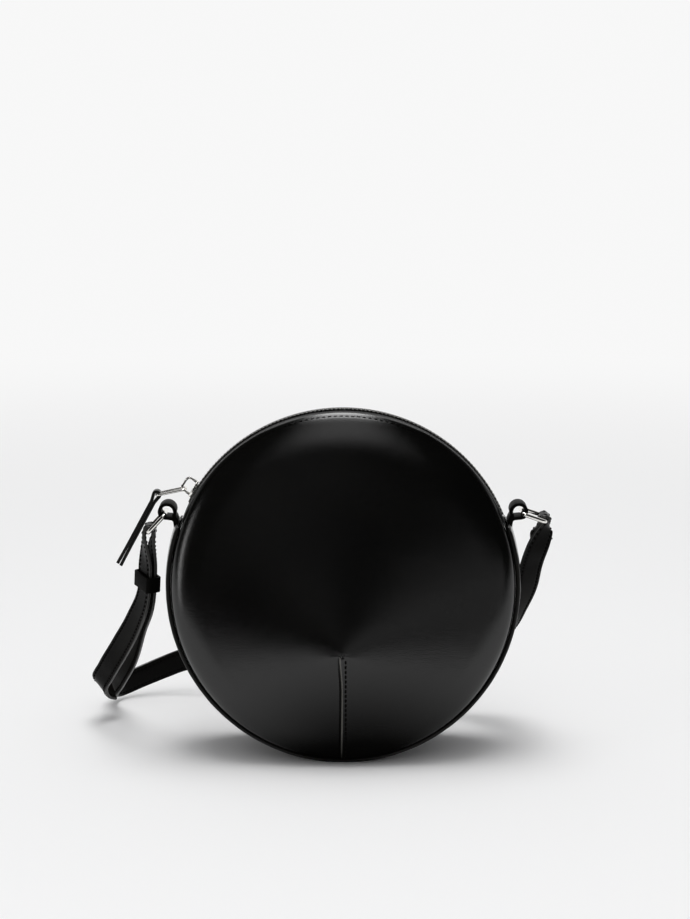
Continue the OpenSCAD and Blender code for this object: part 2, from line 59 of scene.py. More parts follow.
camera_data = bpy.data.cameras.new("camera")
camera_data.sensor_width = SENSOR
camera_data.lens = FOCAL_PIXELS / PICTURE_HEIGHT * SENSOR
camera = bpy.data.objects.new("camera", camera_data)
bpy.context.scene.collection.objects.link(camera)
camera.location = (0, -CAMERA_DISTANCE * math.cos(CAMERA_LIFT),
                   BAG_MIDDLE + CAMERA_DISTANCE * math.sin(CAMERA_LIFT))
pitch = CAMERA_LIFT - math.atan(MIDDLE_BELOW / FOCAL_PIXELS)
camera.rotation_euler = (math.pi / 2 - pitch, 0, -math.atan(MIDDLE_LEFT / FOCAL_PIXELS))
bpy.context.scene.camera = camera
bpy.context.scene.view_settings.view_transform = "Standard"


def node_of(tree, kind, operation=None, **sockets):
    """A shader node of that kind with its sockets set; a socket's spaces are written as underscores."""
    n = tree.nodes.new(kind)
    if operation is not None:
        n.operation = operation
    for name, value in sockets.items():
        n.inputs[name.replace("_", " ")].default_value = value
    return n


def soft_step(tree, **sockets):
    """A range that eases in and out between its two ends."""
    n = node_of(tree, "ShaderNodeMapRange", **sockets)
    n.interpolation_type = "SMOOTHSTEP"
    return n


def wire(source, output, target, socket):
    """Joins an output of one node to a socket of another in the same tree."""
    source.id_data.links.new(source.outputs[output], target.inputs[socket])


def new_material(name):
    """A material with a Principled shader, and its node tree and shader."""
    m = bpy.data.materials.new(name)
    m.use_nodes = True
    return m, m.node_tree, m.node_tree.nodes["Principled BSDF"]


def mesh_piece(name, points, faces, material, uv=None, smooth=True, material_index=None):
    """A mesh object from an array of points and a list of arrays of faces, each array with faces of
    one size. uv gives each face corner its place on the piece in metres, in the order of the faces."""
    points = np.asarray(points, np.float32).reshape(-1, 3)
    mesh = bpy.data.meshes.new(name)
    mesh.vertices.add(len(points))
    mesh.vertices.foreach_set("co", points.ravel())
    corners = np.concatenate([f.ravel() for f in faces]).astype(np.int32)
    sizes = np.concatenate([np.full(len(f), f.shape[1]) for f in faces]).astype(np.int32)
    starts = np.concatenate([[0], np.cumsum(sizes)[:-1]]).astype(np.int32)
    mesh.loops.add(len(corners))
    mesh.loops.foreach_set("vertex_index", corners)
    mesh.polygons.add(len(sizes))
    mesh.polygons.foreach_set("loop_start", starts)
    mesh.polygons.foreach_set("loop_total", sizes)
    mesh.polygons.foreach_set("use_smooth", np.full(len(sizes), smooth))
    for m in material if isinstance(material, (list, tuple)) else [material]:
        mesh.materials.append(m)
    if material_index is not None:
        mesh.polygons.foreach_set("material_index", np.asarray(material_index, np.int32))
    if uv is not None:
        layer = mesh.uv_layers.new(name="UVMap")
        layer.data.foreach_set("uv", np.asarray(uv, np.float32).ravel())
    mesh.update(calc_edges=True)
    mesh.validate()
    piece = bpy.data.objects.new(name, mesh)
    bpy.context.scene.collection.objects.link(piece)
    return piece


FLOOR_HALF = 30.0
FLOOR_FRONT = -0.56         # the paper ends here, out of the camera's sight
PAPER_WHITE = (0.935, 0.935, 0.935, 1)
floor_material, tree, shader = new_material("paper_floor")
shader.inputs["Base Color"].default_value = (0.86, 0.86, 0.86, 1)
shader.inputs["Roughness"].default_value = 0.9
shader.inputs["Specular IOR Level"].default_value = 0.1
# Far from the bag the paper runs into the white behind it, for the camera and for reflections
place = node_of(tree, "ShaderNodeTexCoord")
reach = node_of(tree, "ShaderNodeVectorMath", "LENGTH")
far = soft_step(tree, From_Min=0.45, From_Max=1.8)
rays = node_of(tree, "ShaderNodeLightPath")
seen = node_of(tree, "ShaderNodeMath", "MAXIMUM")
amount = node_of(tree, "ShaderNodeMath", "MULTIPLY")
glow = node_of(tree, "ShaderNodeEmission", Color=PAPER_WHITE)
mixed = node_of(tree, "ShaderNodeMixShader")
wire(place, "Object", reach, 0)
wire(reach, "Value", far, "Value")
wire(rays, "Is Camera Ray", seen, 0)
wire(rays, "Is Glossy Ray", seen, 1)
wire(far, "Result", amount, 0)
wire(seen, 0, amount, 1)
wire(amount, 0, mixed, 0)
wire(shader, 0, mixed, 1)
wire(glow, 0, mixed, 2)
wire(mixed, 0, tree.nodes["Material Output"], 0)
floor = mesh_piece("floor", [(-FLOOR_HALF, FLOOR_FRONT, 0), (FLOOR_HALF, FLOOR_FRONT, 0),
                             (FLOOR_HALF, FLOOR_HALF, 0), (-FLOOR_HALF, FLOOR_HALF, 0)],
                   [np.array([[0, 1, 2, 3]])], floor_material, smooth=False)

# The camera sees white paper all round, dull surfaces get an even grey fill, and reflections see a
# bright room behind the bag and a dark one in front of it, with its dim wall
DIM_WALL = (-0.150, -0.964, 0.220)          # the way to it from the bag
world = bpy.data.worlds.new("studio")
bpy.context.scene.world = world
world.use_nodes = True
tree = world.node_tree
tree.nodes.clear()
direction = node_of(tree, "ShaderNodeTexCoord")
parts = node_of(tree, "ShaderNodeSeparateXYZ")
behind = soft_step(tree, From_Min=0.05, From_Max=0.6, To_Min=0.008, To_Max=0.9)
rays = node_of(tree, "ShaderNodeLightPath")
wall_way = node_of(tree, "ShaderNodeVectorMath", "DOT_PRODUCT")
wall_way.inputs[1].default_value = DIM_WALL
wall = soft_step(tree, From_Min=0.978, From_Max=0.999, To_Max=0.09)
both = node_of(tree, "ShaderNodeMath", "ADD")
studio = node_of(tree, "ShaderNodeBackground")
fill = node_of(tree, "ShaderNodeBackground", Color=(0.385, 0.385, 0.39, 1))
paper = node_of(tree, "ShaderNodeBackground", Color=PAPER_WHITE)
diffuse_mix = node_of(tree, "ShaderNodeMixShader")
camera_mix = node_of(tree, "ShaderNodeMixShader")
out = node_of(tree, "ShaderNodeOutputWorld")
wire(direction, "Generated", parts, 0)
wire(parts, "Y", behind, "Value")
wire(direction, "Generated", wall_way, 0)
wire(wall_way, "Value", wall, "Value")
wire(behind, "Result", both, 0)
wire(wall, "Result", both, 1)
wire(both, 0, studio, "Color")
wire(rays, "Is Diffuse Ray", diffuse_mix, 0)
wire(studio, 0, diffuse_mix, 1)
wire(fill, 0, diffuse_mix, 2)
wire(rays, "Is Camera Ray", camera_mix, 0)
wire(diffuse_mix, 0, camera_mix, 1)
wire(paper, 0, camera_mix, 2)
wire(camera_mix, 0, out, 0)

overhead = bpy.data.lights.new("overhead_box", "SUN")
overhead.energy = 1.10
overhead.angle = math.radians(40)
overhead_box = bpy.data.objects.new("overhead_box", overhead)
bpy.context.scene.collection.objects.link(overhead_box)
overhead_box.rotation_euler = (math.radians(-2), 0, 0)
overhead_box.visible_glossy = False         # it's a light ceiling, too even to show in the leather


def soft_panel(name, azimuth, elevation, distance, width, height, energy):
    """A flat lamp that faces the bag, from so many degrees to the right of the front and up. Sizes are
    in metres, and the energy is in watts."""
    lamp = bpy.data.lights.new(name, "AREA")
    lamp.shape = "RECTANGLE"
    lamp.size, lamp.size_y, lamp.energy = width, height, energy
    panel = bpy.data.objects.new(name, lamp)
    bpy.context.scene.collection.objects.link(panel)
    side, up = math.radians(azimuth), math.radians(elevation)
    way = Vector((math.sin(side) * math.cos(up), -math.cos(side) * math.cos(up), math.sin(up)))
    panel.location = Vector((0, 0, BAG_MIDDLE)) + distance * way
    panel.rotation_euler = (-way).to_track_quat("-Z", "Y").to_euler()
    return panel


soft_panel("top_box", 0, 86, 2.0, 0.72, 2.3, 14)
soft_panel("front_box", 0, 42, 2.0, 0.72, 0.95, 2.2)
rim_box = soft_panel("rim_box", 0, 100, 1.9, 0.66, 2.2, 26)
rim_box.visible_diffuse = False             # it only glances off the top rim
soft_panel("right_panel", 30, 2.2, 2.43, 2.55, 0.37, 1.30)
soft_panel("left_strip", -66, 4, 2.2, 0.26, 1.2, 5.0)

# Front panel: one piece of smooth black leather, cut nearly to its middle and closed again by a
# dart that runs down from the point, so the panel stands up as a shallow cone. The right edge of
# the dart laps over the left one. The rim turns over into the seam with the piping.
BODY_R = 0.100
RIM_R = 0.0971
PANEL_T = 0.0013
FRONT_TURN = ((0.021, 0.018), (0.0055, 0.0120))   # the shoulder's width and height, top and bottom
FRONT_LIFT = 0.0009           # along the zip the turned edge stands up this much more
DART_DROP = 0.0335
FRONT_RISE = 0.024
LAP_T = 0.0014
ZIP_HALF = math.radians(70)
LAP_EDGE = -0.0007            # the lapped edge lies this far left of the middle
DART_ROW = 0.00145            # and its stitches this far right
EDGE_ROW = 0.0016             # from the rim to the stitches along the zip
EDGE_GROOVE = 0.0001          # depth of the groove under those stitches
EDGE_GROOVE_W = 0.00045       # and its width on each side
GROOVE_FADE = 0.03            # and the angle over which it fades at each end of the zip
SUMMIT_SOFT = 0.035           # share of the way to the rim over which the summit is rounded


def half_depth(h):
    """Half the bag's depth at height h over its middle: 19.5 mm, less 9.5% of the height."""
    return 0.0195 - 0.095 * h


def shoulder(rim_h, turn):
    """Width and height of the turned shoulder at a height of the rim, evenly from top to bottom."""
    low = (1 - rim_h / RIM_R) / 2
    return [top + (bottom - top) * low for top, bottom in turn]


def depth_at(x, h, rise, drop, turn, inset, dart=False):
    """Depth of a skin of a panel before the middle plane, over the place x, h. A straight line runs
    from the summit through that place to the rim. Along it the depth falls evenly from the summit to
    the edge, and over the shoulder it drops as a quarter of an ellipse of power 2 at the top and 2.5
    at the bottom. The outside has a groove under the stitches along the zip."""
    r = np.maximum(np.hypot(x, h + drop), 1e-7)
    sine = (h + drop) / r
    rim_r = RIM_R - inset
    ray = drop * sine + np.sqrt((drop * sine) ** 2 + rim_r ** 2 - drop ** 2)
    t, rim_h = np.minimum(r / ray, 1), -drop + ray * sine
    tip = SUMMIT_SOFT
    share = (np.sqrt(t * t + tip * tip) - tip) / (math.sqrt(1 + tip * tip) - tip)
    wide, high = shoulder(rim_h, turn)
    edge = half_depth(rim_h) - inset + high
    near = np.clip((1 - t) * ray / wide, 0, 1)
    power = 2 + 0.5 * (1 - rim_h / RIM_R) / 2
    turned = high * (1 - (1 - (1 - near) ** power) ** (1 / power))
    summit = half_depth(-drop) + rise - inset
    depth = summit + (edge - summit) * share - turned
    if inset > 0:
        return depth
    from_top = np.abs(np.arctan2(ray * x / r, rim_h))
    zone = np.clip((ZIP_HALF + GROOVE_FADE - from_top) / (2 * GROOVE_FADE), 0, 1)
    depth = depth - EDGE_GROOVE * zone * np.exp(-(((1 - t) * ray - EDGE_ROW) / EDGE_GROOVE_W) ** 2)
    if dart:
        depth = depth + lap_at(x, h, drop)
    return depth


TOP_BEND = 0.0013             # how far the lapped edge bends to the left at its upper end
TOP_BEND_L = 0.012            # and over what length
LOW_BEND = 0.14               # and further down, this times the square of the distance


def from_lap_edge(x, down):
    """Distance to the right of the lapped edge. The edge bends to the left as a bell at its upper end,
    and with the square of the distance down towards its lower end."""
    return x - LAP_EDGE + TOP_BEND * np.exp(-(down / TOP_BEND_L) ** 2) + LOW_BEND * down * down


LAP_ROUND = 0.0009            # the lapped edge rounds over within this
LAP_FADE = 0.0042             # the lap fades out within this at its upper end,
LAP_FADE_MORE = 0.008         # and within this much more from 20 mm further down
STITCH_SINK = 0.34            # share of the lap's height that the stitches press in
STITCH_SINK_W = 0.0005
EDGE_PRESS = 0.0006           # depth, distance and width of the hollow beside the lapped edge
CREASES = ((math.radians(190), 0.00013), (math.radians(-12), 0.0001))     # each one's way and height
CREASE_L = 0.005
CREASE_ANGLE = 0.35


def lap_at(x, h, drop):
    """Height of the dart's lap: it steps up over a rounded edge, fades to the right, and sinks under
    its stitches. The leather under it is pressed in along the edge. Two slight creases run out
    sideways from its upper end."""
    down = np.clip(-drop - h, 0, 1)
    below = np.sin(np.clip(down / 0.0016, 0, 1) * np.pi / 2)
    from_edge = from_lap_edge(x, down)
    step = 1 - (1 - np.clip(from_edge / LAP_ROUND, 0, 1)) ** 1.6
    fade_w = LAP_FADE + LAP_FADE_MORE * np.clip(down / 0.02, 0, 1)
    fade = np.clip(1 - from_edge / fade_w, 0, 1) ** 2
    sunk = STITCH_SINK * np.exp(-((x - DART_ROW) / STITCH_SINK_W) ** 2)
    pressed = EDGE_PRESS * below * np.exp(-((from_edge + EDGE_PRESS) / EDGE_PRESS) ** 2)
    side = np.arctan2(h + drop, x)
    r = np.hypot(x, h + drop) / CREASE_L
    crease = 0
    for middle, high in CREASES:
        off = np.arctan2(np.sin(side - middle), np.cos(side - middle))
        crease = crease + high * r * np.exp(1 - r) * np.exp(-(off / CREASE_ANGLE) ** 2)
    lower = np.where((h < -drop) & (np.abs(x) < 0.02), 1.0, 0.0)
    return (LAP_T * below * step * (fade - sunk) - pressed) * lower + crease


PLAIN_COLUMNS = 288
FINE_COLUMNS = 56             # on each side of the dart
FINE_STEP = 0.0009
FINE_GROWTH = 1.065           # from each fine step to the next


def panel_columns(dart):
    """Places of the columns round the rim, in metres from its lowest point. Beside the dart each lies
    a fixed share further out than the one before, so that the lapped edge, which crosses the columns
    one after another on its way up, always lies in a fine part of the mesh."""
    whole = 2 * np.pi * RIM_R
    if not dart:
        return np.linspace(0, whole, PLAIN_COLUMNS + 1)[:-1]
    growing = FINE_STEP * FINE_GROWTH ** np.arange(FINE_COLUMNS)
    beside = np.concatenate([-growing[::-1], np.linspace(-growing[0], growing[0], 10)[1:-1], growing])
    rest = np.linspace(beside[-1], whole + beside[0], PLAIN_COLUMNS + 2)[1:-1]
    return np.concatenate([beside, rest])


LIFT_FADE = math.radians(25)


def stood_up(a, near_rim):
    """How far the leather along the zip stands further out, from the angle round the rim and from the
    share of the shoulder's width: it grows with the power 1.5 towards the rim, and fades smoothly
    towards the two ends of the zip."""
    from_top = np.abs(np.arctan2(np.cos(a), np.sin(a)))
    over = np.clip((ZIP_HALF - from_top) / LIFT_FADE, 0, 1)
    return FRONT_LIFT * over * over * (3 - 2 * over) * near_rim ** 1.5


def panel_skin(columns, inset, rise, drop, turn, dart, rows):
    """Points of one skin of a panel, one column of them for each place round the rim, from next to
    the summit out to the rim. The last rows crowd the shoulder."""
    a = columns[:, None] / RIM_R - np.pi / 2
    rim_x, rim_h = (RIM_R - inset) * np.cos(a), (RIM_R - inset) * np.sin(a)
    ray = np.hypot(rim_x, rim_h + drop)
    wide, high = shoulder(rim_h, turn)
    inner = np.linspace(0, 1, rows)[1:] ** 1.25
    outer = 1 - np.sin(np.linspace(0, np.pi / 2, rows // 2 + 1)[1:])
    t = np.concatenate([inner[None, :] * (1 - wide / ray), 1 - outer[None, :] * wide / ray], 1)
    x, h = rim_x * t, -drop + (rim_h + drop) * t
    depth = depth_at(x, h, rise, drop, turn, inset, dart and inset == 0)
    if dart:
        out = stood_up(a, np.clip(1 - (1 - t) * ray / wide, 0, 1))
        x, h = x + out * np.cos(a), h + out * np.sin(a)
    return np.stack([x, -depth, BAG_MIDDLE + h], -1)


def fan(tip, ring):
    """Triangles from one point to a closed ring of point numbers."""
    return np.stack([np.full(len(ring), tip), ring, np.roll(ring, -1)], 1)


def grid_quads(numbers, wrap_rows=False, wrap_columns=False):
    """Quads between neighbouring entries of a 2-D array of point numbers."""
    n = numbers
    if wrap_rows:
        n = np.concatenate([n, n[:1]], 0)
    if wrap_columns:
        n = np.concatenate([n, n[:, :1]], 1)
    return np.stack([n[:-1, :-1], n[1:, :-1], n[1:, 1:], n[:-1, 1:]], -1).reshape(-1, 4)


INNER_ROWS = 14


def panel_piece(name, material, inset, thickness, rise, drop, turn, dart, mirror, columns=None, rows=64):
    """A closed shell between two skins of a panel: outer skin, inner skin, and a wall at the rim."""
    columns = panel_columns(dart) if columns is None else columns
    outer = panel_skin(columns, inset, rise, drop, turn, dart, rows)
    inner = panel_skin(columns, inset + thickness, rise, drop, turn, dart, INNER_ROWS)
    n, m, k = len(columns), outer.shape[1], inner.shape[1]
    tip_out = [[0, -(half_depth(-drop) + rise - inset), BAG_MIDDLE - drop]]
    tip_in = [[0, -(half_depth(-drop) + rise - inset - thickness), BAG_MIDDLE - drop]]
    points = np.concatenate([outer.reshape(-1, 3), inner.reshape(-1, 3), tip_out, tip_in])
    o = np.arange(n * m).reshape(n, m)
    i = np.arange(n * k).reshape(n, k) + n * m
    quads = np.concatenate([grid_quads(o, wrap_rows=True)[:, ::-1], grid_quads(i, wrap_rows=True),
                            grid_quads(np.stack([o[:, -1], i[:, -1]], 1), wrap_rows=True)[:, ::-1]])
    triangles = np.concatenate([fan(n * m + n * k, o[:, 0])[:, ::-1], fan(n * m + n * k + 1, i[:, 0])])
    if mirror:
        points = points * [1, -1, 1]
        quads, triangles = quads[:, ::-1], triangles[:, ::-1]
    return mesh_piece(name, points, [quads, triangles], material)


def two_colours(tree, first=None, second=None):
    """A node that mixes two colours."""
    n = node_of(tree, "ShaderNodeMix")
    n.data_type = "RGBA"
    for socket, colour in ((6, first), (7, second)):
        if colour is not None:
            n.inputs[socket].default_value = (*colour, 1)
    return n


PORE_DEPTH = 0.00004
FINE_DEPTH = 0.000012
SWELL_DEPTH = 0.0004


def grain_group():
    """Smooth finished leather, once for every leather here: fine pores, a slow swell where the hide
    isn't quite even, and soft rubbed streaks that change the gloss and lift the colour a little."""
    g = bpy.data.node_groups.new("leather grain", "ShaderNodeTree")
    for name, kind, value in (("Place", "NodeSocketVector", None),
                              ("Dark", "NodeSocketColor", (0.01, 0.01, 0.01, 1)),
                              ("Light", "NodeSocketColor", (0.02, 0.02, 0.02, 1)),
                              ("Pores", "NodeSocketFloat", 2200.0), ("Swell", "NodeSocketFloat", 1.0),
                              ("Satin", "NodeSocketFloat", 0.3), ("Rubbed", "NodeSocketFloat", 0.08)):
        s = g.interface.new_socket(name=name, in_out="INPUT", socket_type=kind)
        if value is not None:
            s.default_value = value
    for name, kind in (("Colour", "NodeSocketColor"), ("Roughness", "NodeSocketFloat"),
                       ("Height", "NodeSocketFloat")):
        g.interface.new_socket(name=name, in_out="OUTPUT", socket_type=kind)
    start, end = node_of(g, "NodeGroupInput"), node_of(g, "NodeGroupOutput")
    pores = node_of(g, "ShaderNodeTexVoronoi")
    pores.feature = "SMOOTH_F1"
    fine = node_of(g, "ShaderNodeTexNoise", Scale=5200.0, Detail=2.0)
    swell = node_of(g, "ShaderNodeTexNoise", Scale=26.0, Detail=1.5, Roughness=0.4)
    stretch = node_of(g, "ShaderNodeMapping")
    stretch.inputs["Rotation"].default_value = (0.2, math.radians(38), 0.1)
    stretch.inputs["Scale"].default_value = (60, 60, 900)
    streaks = node_of(g, "ShaderNodeTexNoise", Scale=1.0, Detail=5.0, Roughness=0.65)
    patches = node_of(g, "ShaderNodeTexNoise", Scale=22.0, Detail=0.0)
    patch = soft_step(g, From_Min=0.3, From_Max=0.8)
    rub = node_of(g, "ShaderNodeMath", "MULTIPLY")
    colour = two_colours(g)
    rough = node_of(g, "ShaderNodeMath", "MULTIPLY_ADD")
    pore_height = node_of(g, "ShaderNodeMath", "MULTIPLY")
    pore_height.inputs[1].default_value = PORE_DEPTH
    fine_height = node_of(g, "ShaderNodeMath", "MULTIPLY_ADD")
    fine_height.inputs[1].default_value = FINE_DEPTH
    swell_size = node_of(g, "ShaderNodeMath", "MULTIPLY")
    swell_size.inputs[1].default_value = SWELL_DEPTH
    swell_height = node_of(g, "ShaderNodeMath", "MULTIPLY_ADD")
    for pattern in (pores, fine, swell, stretch, patches):
        wire(start, "Place", pattern, "Vector")
    wire(start, "Pores", pores, "Scale")
    wire(stretch, 0, streaks, "Vector")
    wire(patches, "Fac", patch, "Value")
    wire(streaks, "Fac", rub, 0)
    wire(patch, 0, rub, 1)
    wire(rub, 0, colour, "Factor")
    wire(start, "Dark", colour, 6)
    wire(start, "Light", colour, 7)
    wire(rub, 0, rough, 0)
    wire(start, "Rubbed", rough, 1)
    wire(start, "Satin", rough, 2)
    wire(pores, "Distance", pore_height, 0)
    wire(fine, "Fac", fine_height, 0)
    wire(pore_height, 0, fine_height, 2)
    wire(start, "Swell", swell_size, 0)
    wire(swell, "Fac", swell_height, 0)
    wire(swell_size, 0, swell_height, 1)
    wire(fine_height, 0, swell_height, 2)
    wire(colour, 2, end, "Colour")
    wire(rough, 0, end, "Roughness")
    wire(swell_height, 0, end, "Height")
    return g


GRAIN = grain_group()
# Painted shade: the panels' reflection fades out round the bag's foot, more on the right, and low down all
# along.
SHADE_MIDDLE_RIGHT = 0.013            # painted shade round the bag's foot: its middle lies this far to the right
SHADE_SQUEEZE = 0.7            # and the reach along the floor is divided by this
SHADE_CORE = 0.007             # the reflection is painted out within this reach, and comes back
LOW_SHADE_CORE = 0.006              # and within this height, and is whole again
LOW_SHADE_END = 0.022              # at this one


def leather(name, dark, light, satin, rubbed, pores=2200.0, swell=1.0, shine=0.5, place="Object", foot=0.0):
    """A leather with its own colours, pores and gloss, worked by the grain group. Where foot is given,
    the reflection fades to nothing within that reach of the bag's foot, and low down all along: painted
    shade for the shadow under the bag that the leather mirrors."""
    m, tree, shader = new_material(name)
    where = node_of(tree, "ShaderNodeTexCoord")
    grain = tree.nodes.new("ShaderNodeGroup")
    grain.node_tree = GRAIN
    for key, value in (("Dark", (*dark, 1)), ("Light", (*light, 1)), ("Pores", pores), ("Swell", swell),
                       ("Satin", satin), ("Rubbed", rubbed)):
        grain.inputs[key].default_value = value
    bump = node_of(tree, "ShaderNodeBump", Distance=1.0, Strength=1.0)
    shader.inputs["Specular IOR Level"].default_value = shine
    # Painted shade: the Specular IOR Level falls to nothing near the foot and low down.
    if foot:
        reach = node_of(tree, "ShaderNodeMapping", Location=(-SHADE_SQUEEZE * SHADE_MIDDLE_RIGHT, 0, 0),
                        Scale=(SHADE_SQUEEZE, 0, 1))
        length = node_of(tree, "ShaderNodeVectorMath", "LENGTH")
        height = node_of(tree, "ShaderNodeSeparateXYZ")
        middle = soft_step(tree, From_Min=SHADE_CORE, From_Max=foot, To_Max=shine)
        low = soft_step(tree, From_Min=LOW_SHADE_CORE, From_Max=LOW_SHADE_END)
        shaded_sheen = node_of(tree, "ShaderNodeMath", "MULTIPLY")
        wire(where, "Object", reach, "Vector")
        wire(where, "Object", height, 0)
        wire(reach, 0, length, 0)
        wire(length, "Value", middle, "Value")
        wire(height, "Z", low, "Value")
        wire(middle, 0, shaded_sheen, 0)
        wire(low, 0, shaded_sheen, 1)
        wire(shaded_sheen, 0, shader, "Specular IOR Level")
    wire(where, place, grain, "Place")
    wire(grain, "Colour", shader, "Base Color")
    wire(grain, "Roughness", shader, "Roughness")
    wire(grain, "Height", bump, "Height")
    wire(bump, 0, shader, "Normal")
    return m


# The panels and gusset carry the painted shade round the foot, out to 76 mm.
panel_leather = leather("panel_leather", (0.0016, 0.0016, 0.0015), (0.0042, 0.0041, 0.0037), 0.145, 0.05,
                        shine=0.54, foot=0.076)
front_panel = panel_piece("front_panel_leather", panel_leather, 0.0, PANEL_T, FRONT_RISE, DART_DROP,
                          FRONT_TURN, True, False)
# Painted shade: the reflection is taken out of the groove beside the lapped edge, and out of the sewn
# edge down both sides of the zip. The bare cut edge is paler, and the pale colour is also a painted
# highlight along the lapped ridge. Each mask is a bell over the distance from its line, at every point.
DART_END = -0.0955            # height of the dart's lower end over the bag's middle
GROOVE_SHADE_FROM = -0.0005           # middle and width of the painted shade in the groove, from the lapped edge
GROOVE_SHADE_W = 0.0004
PALE_FROM = 0.0003            # and of the pale cut edge, which is also a painted highlight
PALE_W = 0.00034
SEWN_SHADE_W = 0.0026               # and of the painted shade on the sewn edge, from the rim
# The cut edge's pale colour: its own tone, and a painted highlight on the lapped ridge
PALE_CUT_HIGHLIGHT = (0.15, 0.146, 0.134)
place = np.empty(len(front_panel.data.vertices) * 3, np.float32)
front_panel.data.vertices.foreach_get("co", place)
x, h = place[0::3], place[2::3] - BAG_MIDDLE
past_edge = from_lap_edge(x, -DART_DROP - h)
along_dart = np.clip((-DART_DROP - h) / 0.002, 0, 1) * np.clip((h - DART_END) / 0.020, 0, 1)
# Degrees from the top: the painted shade on the sewn edge grows from 13 to 27 and fades again from 66 to 72
from_top = np.degrees(np.abs(np.arctan2(x, h)))
beside_zip = np.clip((from_top - 13) / 14, 0, 1) * np.clip((72 - from_top) / 6, 0, 1)
groove_shade = along_dart * np.exp(-((past_edge - GROOVE_SHADE_FROM) / GROOVE_SHADE_W) ** 2)
sewn_edge_shade = beside_zip * np.exp(-((RIM_R + FRONT_LIFT - np.hypot(x, h)) / SEWN_SHADE_W) ** 2)
cut_edge_highlight = along_dart * np.exp(-((past_edge - PALE_FROM) / PALE_W) ** 2)
for name, mask in (("dull", np.maximum(groove_shade, sewn_edge_shade)), ("cut_edge_highlight", cut_edge_highlight)):
    layer = front_panel.data.attributes.new(name, "FLOAT", "POINT")
    layer.data.foreach_set("value", mask.astype(np.float32))
tree = panel_leather.node_tree
shader = tree.nodes["Principled BSDF"]
shaded_sheen = shader.inputs["Specular IOR Level"].links[0].from_node
grain = shader.inputs["Base Color"].links[0].from_node
# The dull mask is painted shade: where it is full, the reflection is taken out.
shade_place = node_of(tree, "ShaderNodeAttribute")
shade_place.attribute_name = "dull"
# Pale cut edge: its own tone, and a painted highlight along the lapped ridge
cut_place = node_of(tree, "ShaderNodeAttribute")
cut_place.attribute_name = "cut_edge_highlight"
left = node_of(tree, "ShaderNodeMapRange", To_Min=1.0, To_Max=0.0)
kept = node_of(tree, "ShaderNodeMath", "MULTIPLY")
pale = two_colours(tree, second=PALE_CUT_HIGHLIGHT)
wire(shade_place, "Fac", left, "Value")
wire(shaded_sheen, 0, kept, 0)
wire(left, 0, kept, 1)
wire(kept, 0, shader, "Specular IOR Level")
wire(grain, "Colour", pale, 6)
wire(cut_place, "Fac", pale, "Factor")
wire(pale, 2, shader, "Base Color")
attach(front_panel, "bag")
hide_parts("front_panel")

# Stitches: black waxed thread. One row holds the lapped edge of the dart, and one row along each
# side of the zip holds the turned edge of the panel to the tape.
THREAD_W = 0.00066
DART_STITCH = 0.0028          # from one stitch to the next
DART_THREAD = 0.0021          # and the length of thread that shows
FIRST_STITCH = 0.0035         # from the dart's upper end down to its first stitch
LAST_STITCH = -0.0945         # height of its last stitch over the bag's middle
THREAD_UP = 0.00008           # how far its thread stands up from the groove
EDGE_STITCH = 0.0032
EDGE_THREAD = 0.0023
ROW_START = math.radians(21.5)              # the rows along the zip, from the right
ROW_END = math.radians(158.5)
STITCH_SIDES = 6


def unit(v):
    """The same vectors, each divided by its length."""
    return v / np.linalg.norm(v, axis=-1, keepdims=True)


def outward_at(x, h, rise, drop, turn):
    """Unit normal of a panel's outside, from the fall of the depth over a tenth of a millimetre."""
    d = 0.0001
    dx = (depth_at(x + d, h, rise, drop, turn, 0.0) - depth_at(x - d, h, rise, drop, turn, 0.0)) / (2 * d)
    dh = (depth_at(x, h + d, rise, drop, turn, 0.0) - depth_at(x, h - d, rise, drop, turn, 0.0)) / (2 * d)
    return unit(np.stack([-dx, -np.ones_like(dx), -dh], -1))


def stitch_row(name, middles, along, outward, length, width, material):
    """One short rounded thread at each place: rings of six points, fat in the middle, whose ends dip
    into the leather. The whole row is one array of places times points."""
    s = np.array([-1.0, -0.85, -0.4, 0.4, 0.85, 1.0])
    fat = np.array([0.25, 0.75, 1.0, 1.0, 0.75, 0.25])
    rise = np.array([-0.9, -0.15, 0.12, 0.12, -0.15, -0.9])
    b = np.arange(STITCH_SIDES) * np.pi / 3
    u = np.repeat(s[:, None] * length / 2, STITCH_SIDES, 1)
    v = fat[:, None] * np.cos(b)[None, :] * width / 2
    w = fat[:, None] * np.sin(b)[None, :] * width / 2 + rise[:, None] * width / 2
    side = np.cross(outward, along)
    base = np.stack([u, v, w], -1).reshape(-1, 3)
    points = (middles[:, None, :] + base[None, :, :1] * along[:, None, :]
              + base[None, :, 1:2] * side[:, None, :] + base[None, :, 2:] * outward[:, None, :])
    ring = np.arange(len(s) * STITCH_SIDES).reshape(len(s), STITCH_SIDES)
    quads = grid_quads(ring, wrap_columns=True)[:, ::-1]
    caps = np.array([ring[0], ring[-1][::-1]])
    shift = (np.arange(len(middles)) * ring.size)[:, None, None]
    faces = [(quads[None] + shift).reshape(-1, 4), (caps[None] + shift).reshape(-1, STITCH_SIDES)]
    return mesh_piece(name, points, faces, material)


thread, tree, shader = new_material("waxed_thread")
shader.inputs["Roughness"].default_value = 0.6
shader.inputs["Specular IOR Level"].default_value = 0.0
where = node_of(tree, "ShaderNodeTexCoord")
twist = node_of(tree, "ShaderNodeTexNoise", Scale=1800.0, Detail=1.0)
shade = two_colours(tree, (0.0016, 0.0016, 0.0016), (0.007, 0.0066, 0.006))
wire(where, "Object", twist, "Vector")
wire(twist, "Fac", shade, "Factor")
wire(shade, 2, shader, "Base Color")

